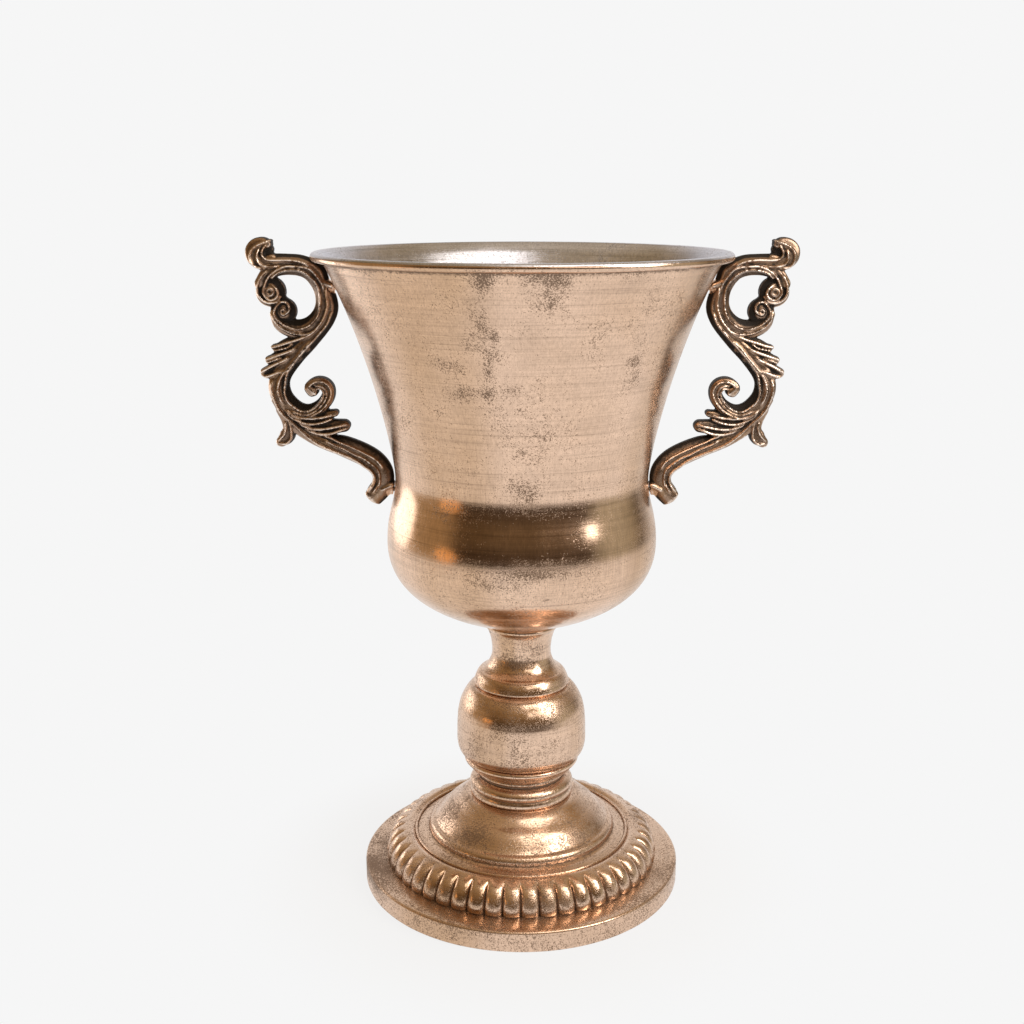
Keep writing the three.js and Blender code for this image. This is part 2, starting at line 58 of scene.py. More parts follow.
MM = 0.001
MERGE_DISTANCE = 0.002 * MM
SMOOTH_ANGLE = math.radians(38)
OUTLINE_REACH = 2.5
HOLLOW_STEP = 0.2
FADE_LENGTH = 3.0
CAP_ROUNDNESS = 0.97
# Hollows, for patina and grime, are stored under this attribute name, and on the handle painted shade too.
HOLLOW_AND_SHADE = "hollow"
HOLLOW_REACH = 0.9
HOLLOW_DEPTH = 0.35

Point = tuple[float, float]
Colour = tuple[float, float, float]


# Shader wiring

class Wire:
    """One output of a shader node, which takes part in Python arithmetic."""

    def __init__(self, board: "Board", socket: bpy.types.NodeSocket) -> None:
        """Keeps the output and the node tree that it belongs to.

        Args:
            board: The node tree's builder.
            socket: The output socket.
        """
        self.board = board
        self.socket = socket

    def _maths(self, operation: str, *values: "Wire | float") -> "Wire":
        """Adds a Math node that works on the given values."""
        return self.board.node("ShaderNodeMath", {"operation": operation}, dict(enumerate(values)))

    def __add__(self, other: "Wire | float") -> "Wire":
        """Sum of two values."""
        return self._maths("ADD", self, other)

    def __sub__(self, other: "Wire | float") -> "Wire":
        """Difference of two values."""
        return self._maths("SUBTRACT", self, other)

    def __rsub__(self, other: "Wire | float") -> "Wire":
        """Difference of a number and this value."""
        return self._maths("SUBTRACT", other, self)

    def __mul__(self, other: "Wire | float") -> "Wire":
        """Product of two values."""
        return self._maths("MULTIPLY", self, other)

    def __truediv__(self, other: "Wire | float") -> "Wire":
        """Quotient of two values."""
        return self._maths("DIVIDE", self, other)

    __radd__ = __add__
    __rmul__ = __mul__

    def at_most(self, other: "Wire | float") -> "Wire":
        """The smaller of two values."""
        return self._maths("MINIMUM", self, other)

    def rise(self, low: float, high: float) -> "Wire":
        """A soft step from 0 to 1 as this value goes from low to high.

        Args:
            low: The value at which the step is 0.
            high: The value at which the step is 1. It may be the smaller one, for a falling step.

        Returns:
            The step's output.
        """
        return self.board.node(
            "ShaderNodeMapRange",
            {"interpolation_type": "SMOOTHSTEP"},
            {"Value": self, "From Min": low, "From Max": high},
        )


class Board:
    """Builds the nodes of one material or of the world."""

    def __init__(self, tree: bpy.types.NodeTree) -> None:
        """Starts from an empty node tree.

        Args:
            tree: The tree whose nodes are replaced.
        """
        self.tree = tree
        self.tree.nodes.clear()

    def node(
        self,
        kind: str,
        settings: Mapping[str, object] | None = None,
        inputs: Mapping[str | int, object] | None = None,
        output: str | int = 0,
    ) -> Wire:
        """Adds a node, sets it up and fills its sockets.

        Args:
            kind: The node's type name.
            settings: Properties of the node, set before its sockets. stops are a colour ramp's.
            inputs: Values or wires by socket name or number.
            output: The output socket to hand back.

        Returns:
            The wire of that output.
        """
        made = self.tree.nodes.new(kind)
        for name, value in (settings or {}).items():
            if name == "stops":
                self._fill_ramp(made.color_ramp, value)
            else:
                setattr(made, name, value)
        for key, value in (inputs or {}).items():
            if isinstance(value, Wire):
                self.tree.links.new(value.socket, made.inputs[key])
            else:
                made.inputs[key].default_value = self._fitted(made.inputs[key], value)
        return Wire(self, made.outputs[output] if made.outputs else None)

    @staticmethod
    def _fill_ramp(ramp: bpy.types.ColorRamp, stops: Sequence[tuple[float, Colour]]) -> None:
        """Gives a ramp its stops, which are pairs of a place and a colour."""
        while len(ramp.elements) < len(stops):
            ramp.elements.new(1.0)
        for element, (place, colour) in zip(ramp.elements, stops):
            element.position = place
            element.color = (*colour, 1.0)

    @staticmethod
    def _fitted(socket: bpy.types.NodeSocket, value: object) -> object:
        """Gives a colour socket its fourth number."""
        if socket.type == "RGBA" and len(value) == 3:
            return (*value, 1.0)
        return value

    def blend(self, factor: "Wire | float", first: object, second: object, how: str = "MIX") -> Wire:
        """Mixes two colours.

        Args:
            factor: How much of the second colour shows.
            first: A colour or a wire.
            second: A colour or a wire.
            how: The blend type.

        Returns:
            The mixed colour's wire.
        """
        settings = {"data_type": "RGBA", "blend_type": how}
        return self.node("ShaderNodeMix", settings, {0: factor, 6: first, 7: second}, 2)

    def vector(self, operation: str, *values: object, output: str | int = 0) -> Wire:
        """Adds a Vector Math node that works on the given vectors."""
        return self.node("ShaderNodeVectorMath", {"operation": operation}, dict(enumerate(values)), output)

    def place(self) -> Wire:
        """The piece's own coordinates, in metres."""
        return self.node("ShaderNodeTexCoord", output="Object")

    def parts(self, vector: Wire) -> tuple[Wire, Wire, Wire]:
        """Splits a vector into its three numbers."""
        split = self.node("ShaderNodeSeparateXYZ", inputs={0: vector})
        return tuple(Wire(self, socket) for socket in split.socket.node.outputs)

    def joined(self, x: "Wire | float", y: "Wire | float", z: "Wire | float") -> Wire:
        """Joins three numbers into a vector."""
        return self.node("ShaderNodeCombineXYZ", inputs={0: x, 1: y, 2: z})

    def noise(self, place: Wire, scale: float, detail: float = 2.0, rough: float = 0.5) -> Wire:
        """Soft noise from 0 to 1, mostly near the middle.

        Args:
            place: Where it is read.
            scale: Features per unit of the place.
            detail: How many finer layers it has.
            rough: How strong the finer layers are.

        Returns:
            The noise's wire.
        """
        inputs = {"Vector": place, "Scale": scale, "Detail": detail, "Roughness": rough}
        return self.node("ShaderNodeTexNoise", {"noise_dimensions": "3D"}, inputs, "Fac")

    def radius(self, x: Wire, y: Wire) -> Wire:
        """The distance from the planter's axis."""
        return self.vector("LENGTH", self.joined(x, y, 0.0), output="Value")

    def hollow(self) -> Wire:
        """How far the surface lies in a hollow or in painted shade, as stored on its vertices."""
        return self.node("ShaderNodeAttribute", {"attribute_name": HOLLOW_AND_SHADE}, output="Fac")

    def bump(self, strength: float, depth: float, height: Wire) -> Wire:
        """Turns a pattern of heights into small bumps of a depth in millimetres."""
        inputs = {"Strength": strength, "Distance": depth * MM, "Height": height}
        return self.node("ShaderNodeBump", inputs=inputs)

    def finish(self, sockets: Mapping[str, object]) -> None:
        """Ends a material in one shader whose sockets have the given values and wires."""
        self.output("ShaderNodeOutputMaterial", self.node("ShaderNodeBsdfPrincipled", inputs=sockets))

    def output(self, kind: str, shader: Wire) -> None:
        """Ends the tree in its output node."""
        self.node(kind, inputs={"Surface": shader})


def new_material(name: str) -> tuple[bpy.types.Material, Board]:
    """Makes an empty node material.

    Args:
        name: The material's name.

    Returns:
        The material and its board.
    """
    material = bpy.data.materials.new(name)
    material.use_nodes = True
    return material, Board(material.node_tree)


# Finishes

@dataclass(frozen=True)
class Stain:
    """A patch where pits and dark patina gather on a turned piece.

    Its place is an azimuth in degrees, from the viewer towards the right, and a height. A strength below 0
    keeps the pits away.
    """

    azimuth: float
    height: float
    width: float
    tall: float
    strength: float = 1.0

    def mask(self, board: Board, place: Wire, outline: "Outline") -> Wire:
        """How strongly the stain shows at each place.

        Args:
            board: The material's board.
            place: The piece's coordinates.
            outline: The outline at its true height, on which the stain lies.

        Returns:
            A wire that is 0 away from the stain.
        """
        angle = math.radians(self.azimuth)
        radius = outline.radius_at(self.height) * MM
        centre = (math.sin(angle) * radius, -math.cos(angle) * radius, self.height * MM)
        stretch = [1 / (size * MM) for size in (self.width, self.width, self.tall)]
        offset = board.vector("MULTIPLY", board.vector("SUBTRACT", place, centre), stretch)
        return board.vector("LENGTH", offset, output="Value").rise(1.25, 0.1) * self.strength


@dataclass(frozen=True)
class SpunMetal:
    """Antique plate on a turned piece, brushed in rings, with pits and dark patina.

    The lean tells how far the outline lies over, so that the brush lines keep their width on it. The lines
    and marks are counted per metre, round the piece and along its outline.
    """

    name: str
    metal: Colour = (0.80, 0.565, 0.415)
    gold: Colour = (0.62, 0.405, 0.255)
    patina: Colour = (0.15, 0.088, 0.052)
    lean: float = 0.5
    roughness: float = 0.16
    pitting: float = 0.0
    brushing: float = 1.0
    edge_reflection: float = 0.0
    stains: tuple[Stain, ...] = ()
    fine_lines: Point = (14, 2600)
    coarse_lines: Point = (9, 520)
    cross_marks: Point = (1100, 34)
    tint_scale: float = 15.0
    cloud_scale: float = 46.0
    crumb_scale: float = 460.0
    speck_scale: float = 1300.0
    bump_depth: float = 0.06

    def _streaks(self, board: Board, place: Wire, scales: Point, detail: float, rough: float) -> Wire:
        """Noise with one scale round the piece and another one along its outline.

        Args:
            board: The material's board.
            place: The piece's coordinates.
            scales: The two scales.
            detail: How many finer layers it has.
            rough: How strong the finer layers are.

        Returns:
            The noise's wire.
        """
        x, y, z = board.parts(place)
        around, along = scales
        height = z + board.radius(x, y) * self.lean
        return board.noise(board.joined(x * around, y * around, height * along), 1.0, detail, rough)

    def _worn(
        self, board: Board, place: Wire, outline: "Outline", cloud: Wire, crumbs: Wire,
    ) -> tuple[Wire, Wire]:
        """Where the plate is eaten through by pits, stained or dirty.

        Args:
            board: The material's board.
            place: The piece's coordinates.
            outline: The outline at its true height.
            cloud: The broad unevenness.
            crumbs: The small unevenness.

        Returns:
            The pits alone, and everything dark, each from 0 to 1.
        """
        specks = board.noise(place, self.speck_scale, 3.0, 0.6)
        gathered = sum((stain.mask(board, place, outline) for stain in self.stains), 0.0)
        gathered = gathered * 0.8 + (cloud - 0.5) * 3.4 + self.pitting
        pits = (specks + gathered * 0.095).rise(0.53, 0.67) * (crumbs + gathered * 0.13).rise(0.39, 0.58)
        stained = (crumbs + cloud * 0.5 + gathered * 0.15).rise(0.84, 1.22)
        grime = (board.hollow() * 1.2 + (crumbs - 0.5) * 1.5 + (specks - 0.5) * 0.8).rise(0.28, 0.9)
        return pits, (pits * 0.85 + stained * 0.45 + grime).at_most(1.0)

    def _tone(self, board: Board, place: Wire, lines: Wire, across: Wire, cloud: Wire) -> Wire:
        """The clean plate's colour: golder in patches, golder at the sides as a painted reflection, streaked
        by the brush.

        Args:
            board: The material's board.
            place: The piece's coordinates.
            lines: The brush lines.
            across: The faint marks across them.
            cloud: The broad unevenness.

        Returns:
            The colour's wire.
        """
        x, y, _ = board.parts(place)
        side = x / board.radius(x, y)
        # Painted reflection: the plate turns golder on the viewer's left and at its right edge.
        left = side.rise(-0.84, -0.6) * side.rise(-0.08, -0.36) * 0.85
        right = side.rise(0.66, 0.86) * self.edge_reflection
        patches = (board.noise(place, self.tint_scale, 4.0, 0.55) - 0.5) * 1.3 + 0.05
        tone = board.blend(left + right + patches, self.metal, self.gold)
        grain = (lines * 0.55 + across * 0.45 - 0.5) * 1.3 * self.brushing + (cloud - 0.5) * 0.55
        tone = board.blend(1.0, tone, grain + 1.0, "MULTIPLY")
        return board.blend(lines.rise(0.46, 0.3) * 0.3 * self.brushing, tone, self.patina)

    def made(self, outline: "Outline") -> bpy.types.Material:
        """Builds the node material.

        Args:
            outline: The piece's outline at its true height.

        Returns:
            The material.
        """
        material, board = new_material(self.name)
        place = board.place()
        x, y, _ = board.parts(place)
        fine = self._streaks(board, place, self.fine_lines, 2.0, 0.6)
        coarse = self._streaks(board, place, self.coarse_lines, 3.0, 0.65)
        lines = fine * 0.5 + coarse * 0.5
        across = self._streaks(board, place, self.cross_marks, 3.0, 0.6)
        cloud = board.noise(place, self.cloud_scale, 5.0, 0.6)
        crumbs = board.noise(place, self.crumb_scale, 4.0, 0.7)
        pits, dark = self._worn(board, place, outline, cloud, crumbs)
        tone = self._tone(board, place, lines, across, cloud)
        side = x / board.radius(x, y)
        dull_sides = (side * side).rise(0.4, 0.85) * 0.1
        rough = (lines - 0.5) * 0.16 * self.brushing + (cloud - 0.5) * 0.14
        height = lines * self.brushing + across * 0.3 - pits * 1.6 + (crumbs - 0.5) * 0.5
        board.finish({
            "Base Color": board.blend(dark * 0.85, tone, self.patina),
            "Metallic": 1 - dark * 0.4,
            "Roughness": rough + self.roughness + dark * 0.25 + dull_sides,
            "Normal": board.bump(0.35, self.bump_depth, height),
        })
        return material


@dataclass(frozen=True)
class CastBronze:
    """Dark cast bronze: brown, worn bright on the ridges, near black in recesses and in painted shade."""

    name: str = "cast_bronze"
    worn: Colour = (0.90, 0.75, 0.64)
    face: Colour = (0.36, 0.25, 0.185)
    rust: Colour = (0.36, 0.225, 0.135)
    # The recess colour is also painted shade, on the faces stored as shaded.
    recess: Colour = (0.022, 0.016, 0.012)
    roughness: float = 0.3
    glint: float = 0.25
    cloud_scale: float = 90.0
    crumb_scale: float = 420.0
    grain_scale: float = 1100.0
    bump_depth: float = 0.22

    def made(self) -> bpy.types.Material:
        """Builds the node material.

        Returns:
            The material.
        """
        material, board = new_material(self.name)
        place = board.place()
        hollow = board.hollow()
        cloud = board.noise(place, self.cloud_scale, 4.0, 0.6)
        grain = board.noise(place, self.grain_scale, 3.0, 0.65)
        crumbs = board.noise(place, self.crumb_scale, 4.0, 0.65)
        uneven = (crumbs - 0.5) * 1.1 + (cloud - 0.5) * 0.6 + (grain - 0.5) * 0.5
        wear = (uneven - hollow * 1.5).rise(0.12, 0.85)
        # Near black where the stored value is high: patina in hollows, and painted shade on the shaded faces.
        dark = (hollow * 1.35 + uneven * 0.75).rise(0.12, 0.82)
        tone = board.blend(cloud.rise(0.38, 0.66), self.face, self.rust)
        tone = board.blend(wear, tone, self.worn)
        board.finish({
            "Base Color": board.blend(dark, tone, self.recess),
            "Metallic": 1 - dark * 0.85,
            "Roughness": (grain - 0.5) * 0.35 + self.roughness + dark * 0.3 - wear * 0.06,
            "Specular IOR Level": self.glint,
            "Normal": board.bump(0.55, self.bump_depth, grain * 0.5 + crumbs),
        })
        return material


@dataclass(frozen=True)
class ZincSteel:
    """Zinc plate on steel fasteners, slightly cloudy, with fine scratches."""

    name: str = "zinc_steel"
    plate: Colour = (0.60, 0.61, 0.62)
    cloudy: Colour = (0.50, 0.49, 0.45)
    scratched: Colour = (0.8, 0.8, 0.8)
    roughness: float = 0.3
    cloud_scale: float = 260.0
    grain_scale: float = 1900.0
    scratches: Point = (300, 2600)
    bump_depth: float = 0.04

    def made(self) -> bpy.types.Material:
        """Builds the node material.

        Returns:
            The material.
        """
        material, board = new_material(self.name)
        place = board.place()
        cloud = board.noise(place, self.cloud_scale, 4.0, 0.6)
        grain = board.noise(place, self.grain_scale, 3.0, 0.6)
        x, y, z = board.parts(place)
        along, across = self.scratches
        scratch = board.noise(board.joined(x * along, y * across, z * along), 1.0, 2.0, 0.5)
        marks = scratch.rise(0.62, 0.74)
        colour = board.blend(cloud.rise(0.4, 0.68), self.plate, self.cloudy)
        board.finish({
            "Base Color": board.blend(marks * 0.4, colour, self.scratched),
            "Metallic": 1.0,
            "Roughness": (cloud - 0.5) * 0.3 + (grain - 0.5) * 0.2 + self.roughness - marks * 0.08,
            "Normal": board.bump(0.3, self.bump_depth, grain - marks * 0.5),
        })
        return material


# Outlines and modelling

@dataclass
class Outline:
    """An outline of (radius, height) points in millimetres, drawn stretch by stretch."""

    points: list[Point] = field(default_factory=list)

    def to(self, *points: Point) -> "Outline":
        """Goes straight to each point in turn."""
        self.points.extend(points)
        return self

    def curve(self, first_pull: Point, second_pull: Point, end: Point, steps: int = 24) -> "Outline":
        """Goes to an end point on a cubic curve.

        Args:
            first_pull: The control point that the curve leaves towards.
            second_pull: The control point that it arrives from.
            end: Where it ends.
            steps: How many straight steps it is cut into.

        Returns:
            The outline.
        """
        corners = np.array([self.points[-1], first_pull, second_pull, end], float)
        share = np.linspace(0, 1, steps + 1)[1:, None]
        rest = 1 - share
        line = rest ** 3 * corners[0] + 3 * rest ** 2 * share * corners[1]
        line = line + 3 * rest * share ** 2 * corners[2] + share ** 3 * corners[3]
        self.points.extend(map(tuple, line))
        return self

    def through(self, *points: Point, steps: int = 5) -> "Outline":
        """Goes through points on one smooth curve.

        Args:
            points: The points that it passes.
            steps: How many straight steps each stretch is cut into.

        Returns:
            The outline.
        """
        self.points.extend(smooth_path([self.points[-1], *points], steps)[1:])
        return self

    def arc(self, centre: Point, size: Point, start: float, end: float, steps: int = 12) -> "Outline":
        """Goes along an arc of an ellipse.

        Args:
            centre: Its centre.
            size: Its half width and half height.
            start: The angle it starts from, in degrees from the outward direction.
            end: The angle it ends at.
            steps: How many straight steps it is cut into.

        Returns:
            The outline.
        """
        for angle in np.radians(np.linspace(start, end, steps + 1)):
            self.points.append((centre[0] + size[0] * math.cos(angle), centre[1] + size[1] * math.sin(angle)))
        return self

    def inner_line(self, thickness: float, last_radius: float) -> list[Point]:
        """The inside of a wall whose outside is the line drawn so far, from its end back to its start.

        Args:
            thickness: The wall.
            last_radius: The radius of the hole where the wall ends.

        Returns:
            The inside's points.
        """
        line = np.array(self.points, float)
        slope = np.gradient(line, axis=0)
        slope /= np.linalg.norm(slope, axis=1)[:, None]
        inner = line + thickness * np.column_stack([-slope[:, 1], slope[:, 0]])
        inner[:, 0] = np.maximum(inner[:, 0], last_radius)
        return [tuple(place) for place in inner[::-1]]

    def raised(self, height: float) -> "Outline":
        """The same outline, lifted by a height."""
        return Outline([(radius, z + height) for radius, z in self.points])

    def radius_at(self, height: float) -> float:
        """The outer radius at a height, from the points nearest to it."""
        return max(radius for radius, z in self.points if abs(z - height) < OUTLINE_REACH)

    def filled(self, step: float) -> "Outline":
        """The same open line, with points added where two of them lie further apart than a step."""
        line: list[Point] = []
        for before, after in zip(self.points, self.points[1:]):
            count = max(1, math.ceil(math.dist(before, after) / step))
            offset = np.array(after) - before
            line.extend(tuple(np.array(before) + offset * i / count) for i in range(count))
        return Outline([*line, self.points[-1]])

    def hollows(self, reach: float, depth: float) -> np.ndarray:
        """How far each point lies in a hollow of the outline, or on a ridge, as a number around 0.

        Args:
            reach: How wide the outline is evened out to find what stands above it or lies below it.
            depth: The depth that counts as 1.

        Returns:
            One number a point.
        """
        line = np.array([*self.points, self.points[0]], float)
        walked = walked_length(line)
        stations = np.arange(0, walked[-1], HOLLOW_STEP)
        fine = np.column_stack([np.interp(stations, walked, line[:, i]) for i in (0, 1)])
        spread = int(reach * 3 / HOLLOW_STEP)
        weights = np.exp(-0.5 * (np.arange(-spread, spread + 1) * HOLLOW_STEP / reach) ** 2)
        weights /= weights.sum()
        padded = np.pad(fine, ((spread, spread), (0, 0)), mode="wrap")
        even = np.column_stack([np.convolve(padded[:, i], weights, "valid") for i in (0, 1)])
        slope = np.gradient(fine, axis=0)
        area = (line[:-1, 0] * line[1:, 1] - line[1:, 0] * line[:-1, 1]).sum()
        normal = np.column_stack([slope[:, 1], -slope[:, 0]]) * math.copysign(1, area)
        normal /= np.linalg.norm(normal, axis=1)[:, None]
        value = ((even - fine) * normal).sum(1) / depth
        return np.clip(np.interp(walked[:-1], stations, value), -1, 1)


def walked_length(line: np.ndarray) -> np.ndarray:
    """How far each point of a line lies from its start, along it."""
    return np.concatenate([[0], np.cumsum(np.linalg.norm(np.diff(line, axis=0), axis=1))])


def soft_step(value: np.ndarray) -> np.ndarray:
    """A soft step from 0 to 1 as a value goes from 0 to 1."""
    value = np.clip(value, 0, 1)
    return value * value * (3 - 2 * value)


def smooth_path(points: Sequence[Sequence[float]], steps: int) -> list[tuple[float, ...]]:
    """Passes a smooth curve through points, however many numbers each one has.

    Args:
        points: The points that it passes.
        steps: How many steps each stretch is cut into.

    Returns:
        The points of the curve.
    """
    knots = np.array(points, float)
    padded = np.vstack([2 * knots[0] - knots[1], knots, 2 * knots[-1] - knots[-2]])
    gaps = np.maximum(np.linalg.norm(np.diff(padded[:, :2], axis=0), axis=1), 1e-6) ** 0.5
    line = [tuple(knots[0])]
    for i in range(1, len(knots)):
        p0, p1, p2, p3 = padded[i - 1:i + 3]
        t0, t1, t2 = gaps[i - 1:i + 2]
        leave = (p1 - p0) / t0 - (p2 - p0) / (t0 + t1) + (p2 - p1) / t1
        arrive = (p2 - p1) / t1 - (p3 - p1) / (t1 + t2) + (p3 - p2) / t2
        for share in np.linspace(0, 1, steps + 1)[1:]:
            a = 2 * share ** 3 - 3 * share ** 2 + 1
            b = (share ** 3 - 2 * share ** 2 + share) * t1
            c = -2 * share ** 3 + 3 * share ** 2
            d = (share ** 3 - share ** 2) * t1
            line.append(tuple(a * p1 + b * leave + c * p2 + d * arrive))
    return line


def deselect() -> None:
    """Deselects every object."""
    bpy.ops.object.select_all(action="DESELECT")


def select_only(piece: bpy.types.Object) -> None:
    """Makes one object the selected and active one."""
    deselect()
    piece.select_set(True)
    bpy.context.view_layer.objects.active = piece


def put_modifier(piece: bpy.types.Object, kind: str, **settings: object) -> None:
    """Adds a modifier and applies it.

    Args:
        piece: The object that it changes.
        kind: The modifier's type.
        settings: Its properties.
    """
    select_only(piece)
    modifier = piece.modifiers.new(kind.lower(), kind)
    for name, value in settings.items():
        setattr(modifier, name, value)
    bpy.ops.object.modifier_apply(modifier=modifier.name)


def at_origin(piece: bpy.types.Object) -> None:
    """Moves a piece's place into its mesh, so that its object sits at the origin."""
    select_only(piece)
    bpy.ops.object.transform_apply(location=True, rotation=True, scale=True)


def turned(name: str, outline: Outline, steps: int) -> bpy.types.Object:
    """Draws a closed outline with a vertex that is extruded along it, and spins it about Z.

    Args:
        name: The new piece's name.
        outline: The closed outline at its true height, in millimetres.
        steps: How many steps go round.

    Returns:
        The new piece.
    """
    places = [Vector((radius * MM, 0.0, height * MM)) for radius, height in outline.points]
    deselect()
    bpy.ops.mesh.primitive_plane_add(size=MM, location=places[0])
    piece = bpy.context.object
    piece.name = name
    at_origin(piece)
    bpy.ops.object.mode_set(mode="EDIT")
    bpy.ops.mesh.merge(type="CENTER")
    for before, after in zip(places, [*places[1:], places[0]]):
        bpy.ops.mesh.extrude_region_move(TRANSFORM_OT_translate={"value": after - before})
    bpy.ops.mesh.select_all(action="SELECT")
    bpy.ops.mesh.remove_doubles(threshold=MERGE_DISTANCE)
    bpy.ops.mesh.spin(steps=steps, angle=math.tau, center=(0, 0, 0), axis=(0, 0, 1))
    bpy.ops.mesh.select_all(action="SELECT")
    bpy.ops.mesh.remove_doubles(threshold=MERGE_DISTANCE)
    bpy.ops.mesh.normals_make_consistent(inside=False)
    bpy.ops.object.mode_set(mode="OBJECT")
    return piece


def turned_copy(piece: bpy.types.Object, name: str) -> bpy.types.Object:
    """Copies a piece, with its own mesh, and turns it half round the planter.

    Args:
        piece: The finished piece.
        name: The copy's name.

    Returns:
        The copy.
    """
    other = piece.copy()
    other.data = piece.data.copy()
    other.name = name
    bpy.context.collection.objects.link(other)
    other.data.transform(Matrix.Rotation(math.pi, 4, "Z"))
    return other


def cut_with(piece: bpy.types.Object, tool: bpy.types.Object, operation: str) -> None:
    """Cuts a piece with a tool, or keeps what lies in both, and takes the tool away.

    Args:
        piece: The piece that is cut.
        tool: The closed tool.
        operation: DIFFERENCE or INTERSECT.
    """
    put_modifier(piece, "BOOLEAN", object=tool, operation=operation, solver="EXACT")
    bpy.data.objects.remove(tool, do_unlink=True)


def vertex_places(piece: bpy.types.Object) -> np.ndarray:
    """The places of a piece's vertices, in millimetres, one row each."""
    flat = np.zeros(len(piece.data.vertices) * 3)
    piece.data.vertices.foreach_get("co", flat)
    return flat.reshape(-1, 3) / MM


def vertex_normals(piece: bpy.types.Object) -> np.ndarray:
    """The normals at a piece's vertices, one row each."""
    flat = np.zeros(len(piece.data.vertices) * 3)
    piece.data.vertices.foreach_get("normal", flat)
    return flat.reshape(-1, 3)


def store_hollows_and_shade(piece: bpy.types.Object, hollow: np.ndarray) -> None:
    """Stores per vertex, from 1 to -1, its hollows, for grime and painted shade, or its ridges, for wear."""
    attribute = piece.data.attributes.new(HOLLOW_AND_SHADE, "FLOAT", "POINT")
    attribute.data.foreach_set("value", np.clip(hollow, -1, 1).astype(np.float32))


def outline_hollows(piece: bpy.types.Object, outline: Outline) -> np.ndarray:
    """Reads the hollows of a turned piece from its outline.

    Args:
        piece: The spun piece.
        outline: Its outline at its true height.

    Returns:
        One number a vertex.
    """
    tree = KDTree(len(outline.points))
    for i, (radius, height) in enumerate(outline.points):
        tree.insert((radius, height, 0), i)
    tree.balance()
    values = outline.hollows(HOLLOW_REACH, HOLLOW_DEPTH)
    places = vertex_places(piece)
    radii = np.hypot(places[:, 0], places[:, 1])
    return np.array([values[tree.find((radius, z, 0))[1]] for radius, z in zip(radii, places[:, 2])])


def surface_hollows(piece: bpy.types.Object, depth: float, rounds: int) -> np.ndarray:
    """Finds the hollows of any surface by evening it out.

    Args:
        piece: The finished mesh, with edges of much the same length.
        depth: The depth in millimetres that counts as 1.
        rounds: How often the surface is evened out.

    Returns:
        One number a vertex.
    """
    mesh = piece.data
    place = vertex_places(piece)
    count = len(place)
    ends = np.zeros(len(mesh.edges) * 2, int)
    mesh.edges.foreach_get("vertices", ends)
    first, second = ends.reshape(-1, 2).T
    neighbours = np.bincount(ends, minlength=count)[:, None]
    even = place.copy()
    for _ in range(rounds):
        total = np.zeros_like(even)
        for axis in range(3):
            total[:, axis] += np.bincount(first, even[second, axis], count)
            total[:, axis] += np.bincount(second, even[first, axis], count)
        even = total / neighbours
    return ((even - place) * vertex_normals(piece)).sum(1) / depth


def finish_piece(piece: bpy.types.Object, node: str) -> None:
    """Shades a piece smooth, hangs it under the root body and hides the CAD node that it takes the place of.

    Args:
        piece: The finished piece.
        node: The CAD node that it replaces.
    """
    select_only(piece)
    bpy.ops.object.shade_smooth_by_angle(angle=SMOOTH_ANGLE)
    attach(piece, "root")
    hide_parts(node)
    log.info("%s: %d faces", piece.name, len(piece.data.polygons))


def base_of(node: str) -> float:
    """The lowest height of a CAD node, in millimetres."""
    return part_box(node)[0].z / MM


# The planter's pieces

@dataclass
class TurnedPiece:
    """A piece that is spun from one closed outline and takes the place of one CAD node."""

    node: str = ""
    name: str = ""
    steps: int = 128
    finish: SpunMetal = SpunMetal("plate")
    bore: float = 12.0

    def outline(self) -> Outline:
        """The closed outline above the node's underside. Each piece draws its own."""
        raise NotImplementedError

    def carve(self, piece: bpy.types.Object, hollow: np.ndarray) -> None:
        """Adds relief to the spun piece, and to its hollows. A plain piece has none."""

    def build(self) -> bpy.types.Object:
        """Spins the piece, marks its hollows, and gives it its finish and its place in the frame.

        Returns:
            The finished piece.
        """
        outline = self.outline().raised(base_of(self.node))
        piece = turned(self.name, outline, self.steps)
        hollow = outline_hollows(piece, outline)
        self.carve(piece, hollow)
        store_hollows_and_shade(piece, hollow)
        piece.data.materials.append(self.finish.made(outline))
        finish_piece(piece, self.node)
        return piece


